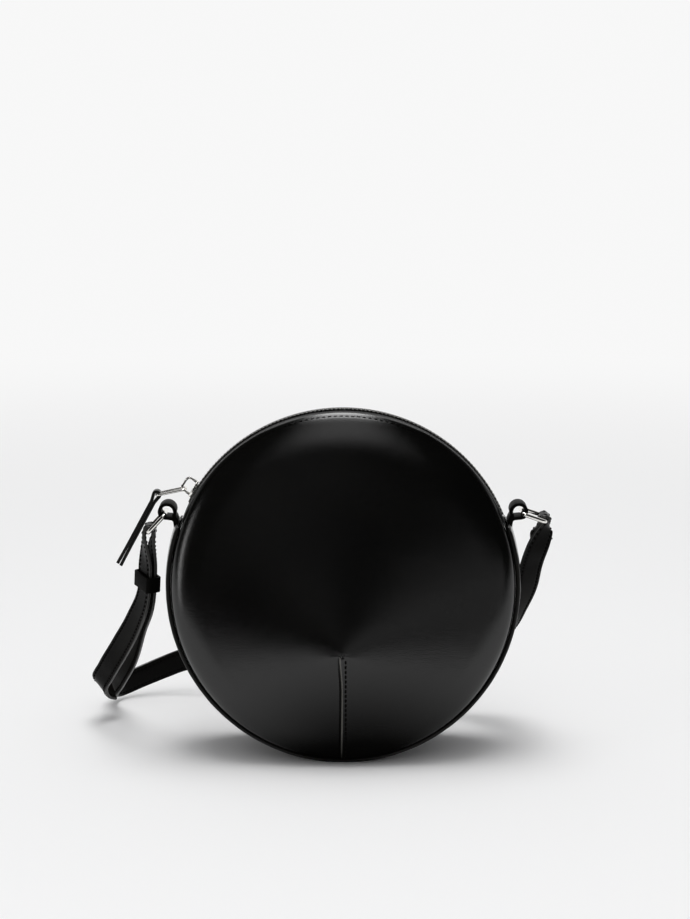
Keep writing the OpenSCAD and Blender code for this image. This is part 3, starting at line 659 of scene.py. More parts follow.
h = np.arange(-DART_DROP - FIRST_STITCH, LAST_STITCH, -DART_STITCH)
x = np.full_like(h, DART_ROW)
depth = depth_at(x, h, FRONT_RISE, DART_DROP, FRONT_TURN, 0.0, True) + THREAD_UP
middles = np.stack([x, -depth, BAG_MIDDLE + h], -1)
along = unit(np.gradient(middles, axis=0))
outward = outward_at(x, h, FRONT_RISE, DART_DROP, FRONT_TURN)
outward = unit(np.cross(np.cross(along, outward), along))
dart_stitches = stitch_row("dart_stitches", middles, along, outward, DART_THREAD, 1.5 * THREAD_W, thread)


def edge_stitches(name, rise, drop, turn, mirror):
    """A row that keeps its distance from the panel's rim, over the length of the zip."""
    a = np.arange(ROW_START, ROW_END, EDGE_STITCH / (RIM_R - EDGE_ROW))
    rim_x, rim_h = RIM_R * np.cos(a), RIM_R * np.sin(a)
    ray = np.hypot(rim_x, rim_h + drop)
    t = 1 - EDGE_ROW / ray
    x, h = rim_x * t, -drop + (rim_h + drop) * t
    outward = outward_at(x, h, rise, drop, turn)
    out = 0 if mirror else stood_up(a, 1 - EDGE_ROW / shoulder(rim_h, turn)[0])
    middles = np.stack([x + out * np.cos(a), -depth_at(x, h, rise, drop, turn, 0.0),
                        BAG_MIDDLE + h + out * np.sin(a)], -1)
    along = unit(np.gradient(middles, axis=0))
    if mirror:
        middles, along, outward = middles * [1, -1, 1], along * [-1, 1, -1], outward * [1, -1, 1]
    outward = unit(np.cross(np.cross(along, outward), along))
    return stitch_row(name, middles, along, outward, EDGE_THREAD, THREAD_W, thread)


front_row = edge_stitches("front_edge_stitches", FRONT_RISE, DART_DROP, FRONT_TURN, False)
for row in (dart_stitches, front_row):
    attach(row, "bag")

# Back panel: the same leather in one plain piece, which swells a little over what the bag holds.
# The photograph doesn't show it. It has the row of stitches along the zip too.
BACK_RISE = 0.009
BACK_TURN = ((0.018, 0.018), (0.0047, 0.0047))
back_panel = panel_piece("back_panel_leather", panel_leather, 0.0, PANEL_T, BACK_RISE, 0.0, BACK_TURN,
                         False, True)
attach(back_panel, "bag")
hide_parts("back_panel")
back_row = edge_stitches("back_edge_stitches", BACK_RISE, 0.0, BACK_TURN, True)
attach(back_row, "bag")

# Gusset: one long strip of the same leather from one end of the zip round the bottom to the other.
# It's widest at the bottom, where the bag stands on it, and swells a little between its seams.
GUSSET_T = 0.0013
GUSSET_END = math.radians(70.3)
SEAM_EDGE = 0.0016            # from the rim's plane to the edge of the strip
GUSSET_SWELL = 0.0011
RIGHT_BULGE = 0.0005          # the limp right side stands out more
BULGE_AT = -0.06              # and its middle lies at this angle
BULGE_OVER = 0.14
SWELL_FROM = -0.93            # the swell grows from this sine of the angle, clear of the floor,
SWELL_OVER = 0.35             # over this much more of it
EDGE_FALL = 0.00025           # the strip's edges turn in by this


def band_piece(name, material, outer_r, thickness, start, end, near, far, swell=0.0, bulge=0.0,
               columns=220, rows=16):
    """A strip round the bag: radius r + swell * (1 - v^2) over angle and breadth, where v runs from
    -1 to 1 between its near and far edges, which are given as depths at each height. The bulge adds
    to the swell as a bell over the angle, and the edges turn in with the power 12 of v. Closed all
    round, and pressed flat on the floor."""
    a = np.linspace(start, end, columns)[:, None]
    v = np.sin(np.linspace(-np.pi / 2, np.pi / 2, rows))[None, :]
    rim_h = outer_r * np.sin(a)
    y0, y1 = near(rim_h), far(rim_h)
    y = (y0 + y1) / 2 + v * (y1 - y0) / 2
    free = np.clip((np.sin(a) - SWELL_FROM) / SWELL_OVER, 0, 1)
    bell = bulge * np.exp(-((a - 2 * np.pi - BULGE_AT) / BULGE_OVER) ** 2)
    out = outer_r + (swell * free + bell) * (1 - v * v) - EDGE_FALL * np.abs(v) ** 12
    skins = []
    for r, lowest in ((out, 0.0), (out - thickness, thickness)):
        z = np.maximum(BAG_MIDDLE + r * np.sin(a), lowest)
        skins.append(np.stack([r * np.cos(a), y + 0 * r, z], -1))
    n = columns * rows
    o = np.arange(n).reshape(columns, rows)
    i = o + n
    quads = [grid_quads(o), grid_quads(i)[:, ::-1], grid_quads(np.stack([i[:, 0], o[:, 0]], 1)),
             grid_quads(np.stack([o[:, -1], i[:, -1]], 1)), grid_quads(np.stack([o[0], i[0]], 1)),
             grid_quads(np.stack([i[-1], o[-1]], 1))]
    length = (a - start) * outer_r + 0 * v
    place = np.stack([length, y + 0 * length], -1).reshape(-1, 2)
    quads = np.concatenate(quads)
    uv = np.concatenate([place, place])[quads.ravel()]
    piece = mesh_piece(name, np.concatenate([s.reshape(-1, 3) for s in skins]), [quads], material, uv=uv)
    face = piece.data.polygons[rows // 2]
    if face.normal.dot(face.center - Vector((0, 0, BAG_MIDDLE))) < 0:
        piece.data.flip_normals()
    return piece


def back_edge(h):
    """Depth of the gusset's back edge at height h over the bag's middle."""
    return half_depth(h) - SEAM_EDGE


def front_edge(h):
    """Depth of its front edge, the same to the other side."""
    return -back_edge(h)


gusset = band_piece("gusset_leather", panel_leather, BODY_R, GUSSET_T, np.pi / 2 + GUSSET_END,
                    2.5 * np.pi - GUSSET_END, front_edge, back_edge, swell=GUSSET_SWELL, bulge=RIGHT_BULGE)
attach(gusset, "bag")
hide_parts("gusset")

# Piping: a cord wrapped in a narrow strip of leather and caught in the seam round each rim, from
# one tab under the bottom to the other. It's pressed flat where the bag stands on it.
PIPING_R = 0.0013
PIPING_STEPS = 340
PIPING_SIDES = 16
UNEVEN = 0.035                # share of its radius


def piping_piece(name, material, side):
    """A ring of the cord's radius carried round the rim. The radius wavers with the product of two
    sines of the angle, and shrinks to a third at the two ends."""
    a = np.linspace(np.pi / 2 + ZIP_HALF, 2.5 * np.pi - ZIP_HALF, PIPING_STEPS)[:, None]
    b = np.linspace(0, 2 * np.pi, PIPING_SIDES + 1)[None, :-1]
    thin = np.clip(np.minimum(a - a[0], a[-1] - a) / 0.03, 0.35, 1)
    r = PIPING_R * thin * (1 + UNEVEN * np.sin(41 * a) * np.sin(17 * a + side))
    radius = BODY_R - PIPING_R + r * np.cos(b)
    y = side * (half_depth((BODY_R - PIPING_R) * np.sin(a)) - r * np.sin(b))
    points = np.stack([radius * np.cos(a), y, np.maximum(0, BAG_MIDDLE + radius * np.sin(a))], -1)
    n = np.arange(PIPING_STEPS * PIPING_SIDES).reshape(PIPING_STEPS, PIPING_SIDES)
    quads = grid_quads(n, wrap_columns=True)
    caps = np.array([n[0][::-1], n[-1]])
    if side < 0:
        quads, caps = quads[:, ::-1], caps[:, ::-1]
    return mesh_piece(name, points, [quads, caps], material)


piping_leather = leather("piping_leather", (0.0030, 0.0028, 0.0025), (0.010, 0.0093, 0.008), 0.30, 0.10,
                         swell=0.3, shine=0.2)
for name, side in (("front", -1), ("back", 1)):
    piping = piping_piece(name + "_piping_leather", piping_leather, side)
    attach(piping, "bag")
    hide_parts(name + "_piping")

# Lining and stiffener: a plain woven lining, sewn in behind each panel and the gusset, and a strip
# of fibre board between gusset and lining that keeps the bottom wide. All of it is inside.
LINING_INSET = 0.0016
LINING_T = 0.0005
LINING_R = 0.0968             # of the lining on the gusset
LINING_COLUMNS = 96
LINING_ROWS = 20


def weave_group():
    """A plain weave on the piece's own lengths: two sets of threads that go over and under."""
    g = bpy.data.node_groups.new("plain weave", "ShaderNodeTree")
    for name, kind in (("Place", "NodeSocketVector"), ("Threads", "NodeSocketFloat")):
        g.interface.new_socket(name=name, in_out="INPUT", socket_type=kind)
    g.interface.new_socket(name="Height", in_out="OUTPUT", socket_type="NodeSocketFloat")
    start, end = node_of(g, "NodeGroupInput"), node_of(g, "NodeGroupOutput")
    scaled = node_of(g, "ShaderNodeVectorMath", "SCALE")
    checker = node_of(g, "ShaderNodeTexChecker", Scale=1.0)
    waves = []
    for way in ("X", "Y"):
        w = node_of(g, "ShaderNodeTexWave", Scale=0.5)
        w.wave_type = "BANDS"
        w.bands_direction = way
        w.wave_profile = "SIN"
        wire(scaled, 0, w, "Vector")
        waves.append(w)
    both = node_of(g, "ShaderNodeMix")
    both.data_type = "FLOAT"
    wire(start, "Place", scaled, 0)
    wire(start, "Threads", scaled, "Scale")
    wire(scaled, 0, checker, "Vector")
    wire(checker, "Fac", both, "Factor")
    wire(waves[0], "Fac", both, 2)
    wire(waves[1], "Fac", both, 3)
    wire(both, 0, end, "Height")
    return g


WEAVE = weave_group()


def woven(name, dark, light, threads, rough, depth, place="UV"):
    """A cloth of two close colours, worked by the weave group at so many threads a metre."""
    m, tree, shader = new_material(name)
    shader.inputs["Roughness"].default_value = rough
    shader.inputs["Specular IOR Level"].default_value = 0.3
    where = node_of(tree, "ShaderNodeTexCoord")
    cloth = tree.nodes.new("ShaderNodeGroup")
    cloth.node_tree = WEAVE
    cloth.inputs["Threads"].default_value = threads
    shade = two_colours(tree, dark, light)
    bump = node_of(tree, "ShaderNodeBump", Distance=depth, Strength=0.8)
    wire(where, place, cloth, "Place")
    wire(cloth, "Height", shade, "Factor")
    wire(shade, 2, shader, "Base Color")
    wire(cloth, "Height", bump, "Height")
    wire(bump, 0, shader, "Normal")
    return m


lining_cloth = woven("lining_cloth", (0.018, 0.016, 0.014), (0.045, 0.041, 0.036), 2600, 0.75, 0.0001,
                     "Object")
around = np.linspace(0, 2 * np.pi * RIM_R, LINING_COLUMNS + 1)[:-1]
for name, rise, drop, turn, mirror in (("front_lining", FRONT_RISE, DART_DROP, FRONT_TURN, False),
                                       ("back_lining", BACK_RISE, 0.0, BACK_TURN, True)):
    lining = panel_piece(name + "_cloth", lining_cloth, LINING_INSET, LINING_T, rise, drop, turn, False,
                         mirror, around, LINING_ROWS)
    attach(lining, "bag")
    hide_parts(name)
lining = band_piece("gusset_lining_cloth", lining_cloth, LINING_R, LINING_T, np.pi / 2 + GUSSET_END,
                    2.5 * np.pi - GUSSET_END, front_edge, back_edge, columns=120, rows=8)
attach(lining, "bag")
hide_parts("gusset_lining")

board, tree, shader = new_material("fibre_board")
where = node_of(tree, "ShaderNodeTexCoord")
fibres = node_of(tree, "ShaderNodeTexNoise", Scale=700.0, Detail=6.0)
shade = two_colours(tree, (0.11, 0.085, 0.06), (0.22, 0.18, 0.135))
shader.inputs["Roughness"].default_value = 0.85
wire(where, "Object", fibres, "Vector")
wire(fibres, "Fac", shade, "Factor")
wire(shade, 2, shader, "Base Color")
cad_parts["bottom_stiffener"].data.materials.clear()
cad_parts["bottom_stiffener"].data.materials.append(board)

# Zip: woven tape on each side with a chain of dark plated teeth, two stops at the closed end and
# one at the open end. The tapes are sewn under the turned edges of the panels.
TAPE_R = 0.0980
TAPE_T = 0.0006
CHAIN_HALF = 0.0028
TAPE_CLEAR = 0.0001           # between tape and chain
TAPE_SHORT = 0.0003           # the tape ends this far inside the rim's plane
tape_cloth = woven("tape_cloth", (0.0035, 0.0035, 0.0037), (0.014, 0.0138, 0.0135), 3000, 0.6, 0.00016)
for name, side in (("front", -1), ("back", 1)):
    tape = band_piece(name + "_tape_cloth", tape_cloth, TAPE_R, TAPE_T, np.pi / 2 - ZIP_HALF,
                      np.pi / 2 + ZIP_HALF, lambda h: side * (CHAIN_HALF + TAPE_CLEAR) + 0 * h,
                      lambda h: side * (half_depth(h) - TAPE_SHORT), columns=180, rows=10)
    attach(tape, "bag")
    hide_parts(name + "_zip_tape")


TARNISH = 0.45                # share of the colour that is left under it


def plated(name, colour, rough, scratch, patina):
    """Plated metal: hairline scratches turn the gloss, and a faint tarnish gathers in soft patches."""
    m, tree, shader = new_material(name)
    shader.inputs["Metallic"].default_value = 1.0
    where = node_of(tree, "ShaderNodeTexCoord")
    stretch = node_of(tree, "ShaderNodeMapping")
    stretch.inputs["Scale"].default_value = (300, 2600, 900)
    lines = node_of(tree, "ShaderNodeTexNoise", Scale=1.0, Detail=3.0)
    gloss = node_of(tree, "ShaderNodeMapRange", From_Min=0.35, From_Max=0.75, To_Min=rough,
                    To_Max=rough + scratch)
    dull = node_of(tree, "ShaderNodeTexNoise", Scale=420.0, Detail=2.0)
    spread = node_of(tree, "ShaderNodeMapRange", From_Min=0.45, From_Max=0.75, To_Max=patina)
    shade = two_colours(tree, colour, [c * TARNISH for c in colour])
    bump = node_of(tree, "ShaderNodeBump", Distance=0.00002, Strength=0.5)
    wire(where, "Object", stretch, "Vector")
    wire(where, "Object", dull, "Vector")
    wire(stretch, 0, lines, "Vector")
    wire(lines, "Fac", gloss, "Value")
    wire(gloss, 0, shader, "Roughness")
    wire(dull, "Fac", spread, "Value")
    wire(spread, 0, shade, "Factor")
    wire(shade, 2, shader, "Base Color")
    wire(lines, "Fac", bump, "Height")
    wire(bump, 0, shader, "Normal")
    return m


SAME_POINT = 0.000002
FLAT_ANGLE = math.radians(1.5)              # faces that meet at less are one face
EDGE_ANGLE = math.radians(40)               # and edges that turn by more are rounded


def softened(node, name, material, width, body):
    """A merged copy of a metal node with its edges rounded, which stands for the node."""
    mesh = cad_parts[node].data.copy()
    shape = bmesh.new()
    shape.from_mesh(mesh)
    bmesh.ops.remove_doubles(shape, verts=shape.verts, dist=SAME_POINT)
    bmesh.ops.dissolve_limit(shape, angle_limit=FLAT_ANGLE, verts=shape.verts, edges=shape.edges)
    shape.to_mesh(mesh)
    shape.free()
    mesh.name = name
    mesh.materials.clear()
    mesh.materials.append(material)
    piece = bpy.data.objects.new(name, mesh)
    bpy.context.scene.collection.objects.link(piece)
    bevel = piece.modifiers.new("edges", "BEVEL")
    bevel.width = width
    bevel.segments = 2
    bevel.limit_method = "ANGLE"
    bevel.angle_limit = EDGE_ANGLE
    bevel.harden_normals = True
    mesh.polygons.foreach_set("use_smooth", np.ones(len(mesh.polygons), bool))
    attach(piece, body)
    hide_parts(node)
    return piece


dark_plate = plated("dark_plated_metal", (0.13, 0.127, 0.12), 0.24, 0.2, 0.5)
for node in ("front_zip_teeth", "back_zip_teeth", "top_stops", "bottom_stop"):
    softened(node, node + "_metal", dark_plate, 0.00022, "bag")

# Slider: cast metal, plated bright like the rings, with an arched bail on its top plate. The pull
# is a bent wire frame through the bail, and a leather thong is folded over its far end.
bright_plate = plated("bright_nickel", (0.90, 0.885, 0.85), 0.09, 0.14, 0.18)
softened("slider_body", "slider_body_metal", bright_plate, 0.0003, "slider")
softened("slider_bail", "slider_bail_metal", bright_plate, 0.0003, "slider")
softened("wire_pull", "wire_pull_metal", bright_plate, 0.00001, "pull")

THONG_PIVOT = np.array([-0.105843, 0, 0.148883])      # the middle of the wire's far end
THONG_ANGLE = math.radians(241.5)
THONG_EYE = 0.00095           # radius of the hole round the wire
THONG_T = 0.0018
THONG_W = 0.0056
THONG_L = 0.046
THONG_NECK = 0.0045           # from the wire to where the two leaves meet
THONG_SPREAD = 0.0002         # how far each leaf stands off at the end


def swept_piece(name, line, across, outline, material, closed=False, material_of=None):
    """An outline of (breadth, height) carried along a line: breadth lies along the given direction,
    height stands square to both. The outline may change along the line. Open ends get a cap. The UV
    map gives each place's distance along the line and round the outline."""
    line, across = np.asarray(line, float), np.asarray(across, float)
    if closed:
        along = unit(np.roll(line, -1, 0) - np.roll(line, 1, 0))
    else:
        along = unit(np.gradient(line, axis=0))
    across = unit(across - (across * along).sum(1, keepdims=True) * along)
    up = np.cross(along, across)
    outline = np.asarray(outline, float)
    if outline.ndim == 2:
        outline = np.repeat(outline[None], len(line), 0)
    points = line[:, None, :] + outline[:, :, :1] * across[:, None, :] + outline[:, :, 1:] * up[:, None, :]
    count, around = points.shape[:2]
    n = np.arange(count * around).reshape(count, around)
    quads = grid_quads(n, wrap_rows=closed, wrap_columns=True)
    far = np.concatenate([[0], np.cumsum(np.linalg.norm(np.diff(line, axis=0), axis=1))])
    if closed:
        far = np.append(far, far[-1] + np.linalg.norm(line[0] - line[-1]))
    sides = np.diff(np.vstack([outline[0], outline[0][:1]]), axis=0)
    girth = np.concatenate([[0], np.cumsum(np.linalg.norm(sides, axis=1))])
    row = np.repeat(np.arange(len(far) - 1), around)
    col = np.tile(np.arange(around), len(far) - 1)
    corners = ((0, 0), (1, 0), (1, 1), (0, 1))
    place = np.stack([np.stack([far[row + dr], girth[col + dc]], -1) for dr, dc in corners], 1)
    faces, places = [quads], [place.reshape(-1, 2)]
    if not closed:
        faces.append(np.array([n[0][::-1], n[-1]]))
        places.append(np.concatenate([outline[0][::-1], outline[-1]]))
    index = None
    if material_of is not None:
        index = np.concatenate([np.tile(material_of, len(far) - 1),
                                np.full(0 if closed else 2, material_of[0])])
    piece = mesh_piece(name, points, faces, material, uv=np.concatenate(places), material_index=index)
    shape = piece.data
    first_ring = list(shape.polygons)[:around]
    if sum((face.center - Vector(line[0])).dot(face.normal) for face in first_ring) < 0:
        shape.flip_normals()
    return piece


def rounded_strip(width, thickness, radius, steps=4):
    """Outline of a strip cut across: a rectangle with its four corners rounded."""
    corners = []
    for sx, sy, first in ((1, 1, 0), (-1, 1, 90), (-1, -1, 180), (1, -1, 270)):
        b = np.radians(np.linspace(first, first + 90, steps))
        corners.append(np.stack([sx * (width / 2 - radius) + radius * np.cos(b),
                                 sy * (thickness / 2 - radius) + radius * np.sin(b)], -1))
    return np.concatenate(corners)


def leaf_gap(d):
    """Distance of a leaf from the middle between both: it grows with the square of the way along the
    last 18 mm of the thong."""
    return THONG_T / 2 + 0.00002 + THONG_SPREAD * np.clip((d - 0.028) / 0.018, 0, 1) ** 2


def thong_path():
    """Up one leaf to the wire, most of a circle round it, and down the other leaf."""
    down = np.array([math.cos(THONG_ANGLE), 0, math.sin(THONG_ANGLE)])
    out = np.array([-math.sin(THONG_ANGLE), 0, math.cos(THONG_ANGLE)])
    eye = THONG_EYE + THONG_T / 2
    rising = np.linspace(THONG_L, THONG_NECK, 46)
    turn = np.linspace(math.radians(62), math.radians(298), 26)
    falling = np.linspace(THONG_NECK, THONG_L - 0.0004, 44)
    path = np.concatenate([rising[:, None] * down + leaf_gap(rising)[:, None] * out,
                           eye * np.cos(turn)[:, None] * down + eye * np.sin(turn)[:, None] * out,
                           falling[:, None] * down - leaf_gap(falling)[:, None] * out])
    return THONG_PIVOT + path


path = thong_path()
thong_leather = leather("thong_leather", (0.0030, 0.0028, 0.0025), (0.010, 0.0092, 0.008), 0.33, 0.10,
                        swell=0.3, shine=0.2)
thong = swept_piece("pull_thong_leather", path, np.tile([0, 1.0, 0], (len(path), 1)),
                    rounded_strip(THONG_W, THONG_T, 0.0002), thong_leather)
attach(thong, "thong")
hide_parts("pull_thong")

# Tabs: at each end of the zip a strip of leather stands up as a loop that holds a ring. Its two
# ends lie on each other and are sewn down on the end of the gusset.
TAB_R = 0.0043                # to the middle of the strip
TAB_T = 0.0018
TAB_W = 0.0135
TAB_REACH = 0.1076
TAB_ANGLE = 22                # degrees over the level, from the bag's middle
# Where each end of the strip lies on the gusset: degrees over the level, and distance from the middle
TAB_INNER_FOOT = ((17.6, 0.0994), (18.8, 0.0996), (20.4, 0.1008))
TAB_OUTER_FOOT = ((20.2, 0.1021), (18.9, 0.1011), (17.6, 0.1003))
TAB_SKIVE = 14.0              # steps from each end over which the strip is thinned
TAB_THIN = 0.42               # to this share of its thickness
trim_leather = leather("trim_leather", (0.0026, 0.0025, 0.0023), (0.006, 0.0057, 0.0052), 0.40, 0.12,
                       swell=0.4, shine=0.015)


def weighted_line(knots, steps):
    """A smooth line through knots (any columns; the first three are a place). Each slope is the mean
    of the slopes on its two sides, each weighed by the length of the other, and cubics join them."""
    k = np.asarray(knots, float)
    k = np.vstack([2 * k[0] - k[1], k, 2 * k[-1] - k[-2]])
    step = np.linalg.norm(np.diff(k[:, :3], axis=0), axis=1)[:, None]
    a, b = step[:-1], step[1:]
    slope = ((k[1:-1] - k[:-2]) * b / a + (k[2:] - k[1:-1]) * a / b) / (a + b)
    t = (np.arange(steps) / steps)[None, :, None]
    u = 1 - t
    q, r, b = k[1:-2, None], k[2:-1, None], step[1:-1][:, None]
    line = (u * u * (1 + 2 * t) * q + t * t * (1 + 2 * u) * r
            + b * t * u * (u * slope[:-1, None] - t * slope[1:, None]))
    return np.vstack([line.reshape(-1, k.shape[1]), k[-2]])


def from_middle(degrees, distance):
    """A place (x, z) so many degrees over the level, at a distance from the bag's middle."""
    a = math.radians(degrees)
    return distance * math.cos(a), BAG_MIDDLE + distance * math.sin(a)


def tab_knots(flip):
    """Knots in the middle of the strip: up from the end of the gusset, round the loop and down again."""
    x, z = from_middle(TAB_ANGLE, TAB_REACH)
    turn = np.radians(np.linspace(205, -32, 12))
    loop = [(x + TAB_R * math.cos(b), z + TAB_R * math.sin(b)) for b in turn]
    rising = [from_middle(*knot) for knot in TAB_INNER_FOOT]
    falling = [from_middle(*knot) for knot in TAB_OUTER_FOOT]
    return [(flip * x, 0, z) for x, z in rising + loop + falling]


for name, flip in (("left", -1), ("right", 1)):
    path = weighted_line(tab_knots(flip), 6)
    from_end = np.minimum(np.arange(len(path)), np.arange(len(path))[::-1])
    thin = np.clip(from_end / TAB_SKIVE, TAB_THIN, 1)
    outline = rounded_strip(TAB_W, TAB_T, 0.0004)[None] * np.stack([1 + 0 * thin, thin], -1)[:, None, :]
    across = np.tile([0, 1.0, 0], (len(path), 1))
    tab = swept_piece(name + "_tab_leather", path, across, outline, trim_leather)
    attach(tab, "bag")
    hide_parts(name + "_tab")
    softened(name + "_ring", name + "_ring_metal", bright_plate, 0.00001, name + "_loop")

# Strap: two leathers sewn back to back along both edges, which are painted. It goes from the right
# ring down and behind the bag, lies there in flat bends, comes up at the left, runs through its
# keeper, round the left ring and back through the keeper, and ends in a free tail.
STRAP_W = 0.014
STRAP_ROW = 0.0050            # from the strap's middle line to each row of stitches
STRAP_T = 0.0009
BAG_D = 0.200
FOLD_R = 0.00248              # of the strap's middle line round a ring's bar
RING_L = 0.0138
RING_SEAT = 0.0019
FOLD_KNOTS = 7


def bar_of(flip, lean_degrees):
    """The middle of a ring's outer bar: the ring hangs from its tab, leaning from the level."""
    x, z = from_middle(TAB_ANGLE, TAB_REACH)
    lean = math.radians(lean_degrees)
    return np.array([flip * x, 0, z]) + (RING_SEAT + RING_L) * np.array([math.cos(lean), 0, math.sin(lean)])


LEFT_BAR, RIGHT_BAR = bar_of(-1, 227), bar_of(1, -19)
RUN_DOWN = unit(np.array([-0.06, 0.13, -1.0]))
RUN_TURN = math.radians(32)
RUN_WIDTH = unit(np.cross(RUN_DOWN, [-math.cos(RUN_TURN), -math.sin(RUN_TURN), 0]))
RUN_FACE = np.cross(RUN_WIDTH, RUN_DOWN)
RUN_GAP = 0.68 * FOLD_R


def fold_over(bar, start, end, width):
    """Knots on half a circle round a ring's bar."""
    a = np.radians(np.linspace(start, end, FOLD_KNOTS))[:, None]
    place = bar + FOLD_R * np.hstack([np.cos(a), 0 * a, np.sin(a)])
    return np.hstack([place, np.tile(width, (FOLD_KNOTS, 1))])


def run_down_left(side):
    """The doubled stretch under the left ring, where the strap turns from the bar's way to its own.
    The knots lie at shares of the bag's diameter under the bar, and the turn ends at a tenth."""
    s = np.array([0.05, 0.105, 0.15, 0.18])[:, None]
    t = np.minimum(1, s / 0.1)
    out = unit((1 - t) * np.array([[-1.0, 0, 0]]) + t * RUN_FACE)
    place = LEFT_BAR + s * BAG_D * RUN_DOWN + side * (FOLD_R + (RUN_GAP - FOLD_R) * t) * out
    return np.hstack([place, (1 - t) * np.array([[0, 1.0, 0]]) + t * RUN_WIDTH])


def sewn_under_right(side):
    """The end of the strap, sewn to the strap under the right ring. Each row gives a drop, the share
    of the fold's radius from the middle, the turn in degrees, and a shift to the left."""
    rows = [(0.026, 0.9, 42, 0.005), (0.068, 0.46, 68, 0.015 if side > 0 else 0.004)]
    c, s = [np.array([[f(math.radians(r[2]))] for r in rows]) for f in (math.cos, math.sin)]
    drop, spread, shift = [np.array([[r[i]] for r in rows]) for i in (0, 1, 3)]
    out = side * spread * FOLD_R
    place = RIGHT_BAR + np.hstack([out * c - shift * BAG_D, -out * s, -drop * BAG_D])
    return np.hstack([place, -s, -c, 0 * s])


# Rows of a place in shares of the bag's diameter, then the direction of the strap's width
tail = np.array([
    [-0.610, 0.077, 0.348, -0.60, 0.7, 0.22], [-0.657, 0.140, 0.257, -0.68, 0.6, 0.36],
    [-0.703, 0.200, 0.174, -0.68, 0.6, 0.38], [-0.728, 0.250, 0.117, -0.6, 0.6, 0.45],
    [-0.716, 0.282, 0.093, -0.4, 0.6, 0.55], [-0.696, 0.303, 0.085, -0.3, 0.5, 0.6]])
lie = np.array([
    [-0.598, 0.135, 0.332, -0.6, 0.75, 0.25], [-0.642, 0.260, 0.202, -0.66, 0.55, 0.42],
    [-0.692, 0.380, 0.100, -0.6, 0.35, 0.65], [-0.708, 0.450, 0.056, -0.3, 0.25, 0.9],
    [-0.685, 0.500, 0.046, -0.05, 0.05, 1], [-0.632, 0.540, 0.060, 0, 0, 1],
    [-0.562, 0.565, 0.084, 0, 0, 1], [-0.508, 0.570, 0.104, 0, 0, 1],
    [-0.370, 0.560, 0.125, 0, 0, 1], [-0.240, 0.565, 0.090, 0, 0, 1],
    [-0.100, 0.590, 0.045, 0, 0, 1], [0.080, 0.600, 0.040, 0, 0, 1],
    [0.220, 0.590, 0.040, 0, 0, 1], [0.290, 0.520, 0.040, 0, 0, 1],
    [0.220, 0.450, 0.040, 0, 0, 1], [0.120, 0.445, 0.039, 0, -0.4, 1],
    [0.020, 0.440, 0.018, 0, -1, 0.2], [-0.080, 0.440, 0.018, 0, -1, -0.2],
    [-0.180, 0.430, 0.038, 0, -0.4, -1], [-0.270, 0.360, 0.043, 0, 0, -1],
    [-0.200, 0.295, 0.040, 0, 0, -1], [-0.060, 0.290, 0.042, 0, 0, -1],
    [0.110, 0.300, 0.050, 0, 0, -1], [0.270, 0.300, 0.100, -0.1, -0.1, -1],
    [0.430, 0.270, 0.200, -0.5, -0.4, -0.8], [0.491, 0.220, 0.285, -0.7, -0.5, -0.5],
    [0.510, 0.157, 0.361, -0.9, -0.4, -0.3], [0.532, 0.097, 0.446, -0.95, -0.3, -0.15],
    [0.5415, 0.040, 0.530, -0.97, -0.25, -0.08]])
tail[:, :3] *= BAG_D
lie[:, :3] *= BAG_D
left_knots = np.vstack([tail[::-1], run_down_left(1)[::-1], fold_over(LEFT_BAR, 180, 0, (0, 1, 0)),
                        run_down_left(-1)])
right_knots = np.vstack([sewn_under_right(1)[::-1], fold_over(RIGHT_BAR, 0, 180, (0, -1, 0)),
                         sewn_under_right(-1)])
STRAP_STEPS = 7
STILL_ROW = 11                # of the lie: behind the bag, where the strap stays still
SPLIT = (len(left_knots) + STILL_ROW) * STRAP_STEPS
line = weighted_line(np.vstack([left_knots, lie, right_knots]), STRAP_STEPS)
TOP_POINTS = 29               # across one leather
ROUNDED = 0.00045             # radius of its outer corners
SEWN_IN = 0.0002              # depth of the groove under the stitches
SEWN_IN_W = 0.00045
STRAP_TOP = STRAP_T + 0.00008               # from the strap's middle to the outside of a leather


def strap_outline(side):
    """One leather cut across: flat where it meets the other, rounded at its painted outer edge, and
    pressed in a little along the two rows of stitches."""
    u = np.linspace(-1, 1, TOP_POINTS)
    sewn = SEWN_IN * np.exp(-((np.abs(u) * STRAP_W / 2 - STRAP_ROW) / SEWN_IN_W) ** 2)
    v = STRAP_TOP * (1 - 0.10 * np.abs(u) ** 8) - sewn
    top = np.stack([u * (STRAP_W / 2 - ROUNDED), v], -1)
    b = np.radians([65, 40, 18])[:, None]
    right = np.hstack([STRAP_W / 2 - ROUNDED + ROUNDED * np.cos(b), 0.0004 + ROUNDED * np.sin(b)])
    foot = np.array([[STRAP_W / 2, 0.00002], [-STRAP_W / 2, 0.00002]])
    ring = np.vstack([top, right, foot, right[::-1] * [-1, 1]])
    return ring * [1, side]


strap_top = leather("strap_leather", (0.0026, 0.0025, 0.0023), (0.0085, 0.008, 0.0072), 0.27, 0.10,
                    pores=2600.0, swell=0.7, shine=0.035, place="UV")
strap_under = leather("strap_backing_leather", (0.004, 0.0037, 0.0033), (0.012, 0.011, 0.0095), 0.46, 0.12,
                      pores=1800.0, swell=0.7, shine=0.02, place="UV")
edge_paint, tree, shader = new_material("edge_paint")
shader.inputs["Base Color"].default_value = (0.022, 0.0215, 0.02, 1)
shader.inputs["Roughness"].default_value = 0.3
shader.inputs["Specular IOR Level"].default_value = 0.4
where = node_of(tree, "ShaderNodeTexCoord")
brushed = node_of(tree, "ShaderNodeTexNoise", Scale=260.0, Detail=3.0)
bump = node_of(tree, "ShaderNodeBump", Distance=0.00012, Strength=0.6)
wire(where, "Object", brushed, "Vector")
wire(brushed, "Fac", bump, "Height")
wire(bump, 0, shader, "Normal")

STRAP_STITCH = 0.0027
STRAP_THREAD = 0.0018
STRAP_THREAD_W = 0.001


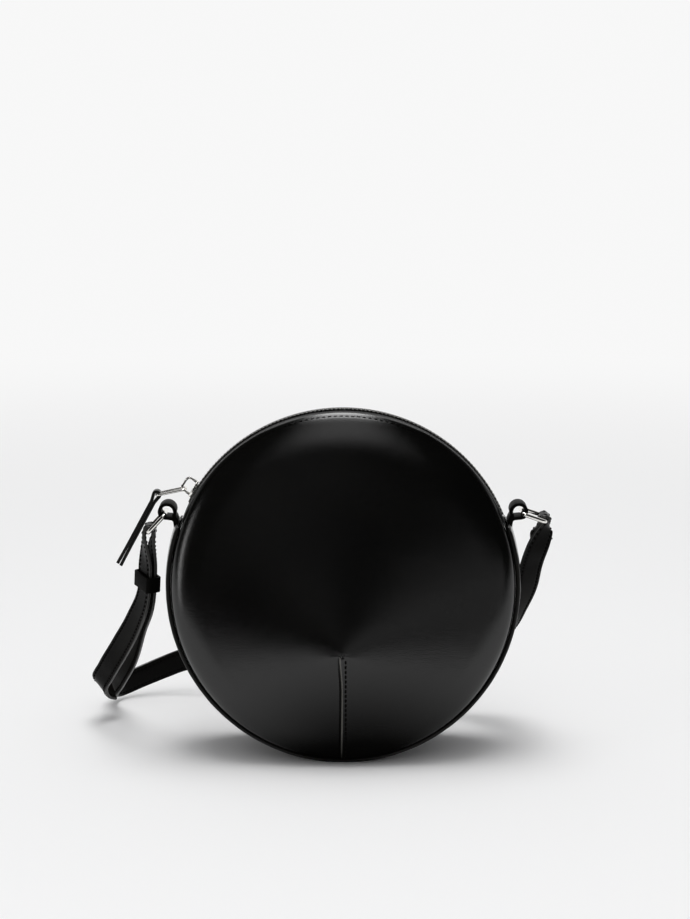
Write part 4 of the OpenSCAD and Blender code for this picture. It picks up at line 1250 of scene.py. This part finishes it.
def at_lengths(lengths, far, columns):
    """Three columns read at the given lengths along a line, straight between its points."""
    return np.stack([np.interp(lengths, far, columns[:, i]) for i in range(3)], -1)


def strap_stitches(name, places, side):
    """Both rows of stitches on one face of a stretch of the strap, at even lengths along it."""
    along = unit(np.gradient(places[:, :3], axis=0))
    across = unit(places[:, 3:] - (places[:, 3:] * along).sum(1, keepdims=True) * along)
    far = np.concatenate([[0], np.cumsum(np.linalg.norm(np.diff(places[:, :3], axis=0), axis=1))])
    lengths = np.arange(0.002, far[-1] - 0.001, STRAP_STITCH)
    p = at_lengths(lengths, far, places[:, :3])
    a = unit(at_lengths(lengths, far, along))
    w = at_lengths(lengths, far, across)
    w = unit(w - (w * a).sum(1, keepdims=True) * a)
    up = np.cross(a, w) * side
    lift = STRAP_T - 0.00002
    middles = np.vstack([p + row * STRAP_ROW * w + lift * up for row in (-1, 1)])
    return stitch_row(name, middles, np.vstack([a, a]), np.vstack([up, up]), STRAP_THREAD, STRAP_THREAD_W,
                      thread)


# Each half of the strap: both leathers and their stitches
for half, places in (("left", line[:SPLIT + 1]), ("right", line[SPLIT:])):
    for node, side, material, slot in (("strap_face", 1, strap_top, "strap_leather"),
                                       ("strap_backing", -1, strap_under, "strap_backing")):
        outline = strap_outline(side)
        painted = np.zeros(len(outline), int)
        painted[TOP_POINTS - 1:] = 1
        piece = swept_piece(f"{node}_{half}", places[:, :3], places[:, 3:], outline, [material, edge_paint],
                            material_of=painted)
        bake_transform(piece)
        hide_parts(node)
        stitches = strap_stitches(f"{node}_{half}_stitches", places, side)
        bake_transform(stitches)

# Keeper: a small closed loop of leather round the doubled strap, which holds the tail down and
# slides a little along it.
KEEPER_L = 0.009
KEEPER_T = 0.0013
KEEPER_CORNER = 0.0013        # radius of its corners, in the middle of the leather
KEEPER_CENTRE = LEFT_BAR + 0.155 * BAG_D * RUN_DOWN
KEEPER_PLAY = 0.0006          # between it and the strap all round
half_w = STRAP_W / 2 + KEEPER_PLAY + KEEPER_T / 2
half_h = RUN_GAP + STRAP_TOP + KEEPER_PLAY + KEEPER_T / 2
corner = KEEPER_CORNER
b = np.linspace(0, np.pi / 2, 7)
arc = np.stack([half_w - corner + corner * np.cos(b), half_h - corner + corner * np.sin(b)], -1)
flat = np.vstack([arc, (arc * [-1, 1])[::-1], -arc, (arc * [1, -1])[::-1]])
path = KEEPER_CENTRE + flat[:, :1] * RUN_WIDTH + flat[:, 1:] * RUN_FACE
keeper = swept_piece("keeper_leather", path, np.tile(RUN_DOWN, (len(path), 1)),
                     rounded_strip(KEEPER_L, KEEPER_T, 0.00035), trim_leather, closed=True)
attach(keeper, "strap_keeper")
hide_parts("keeper")
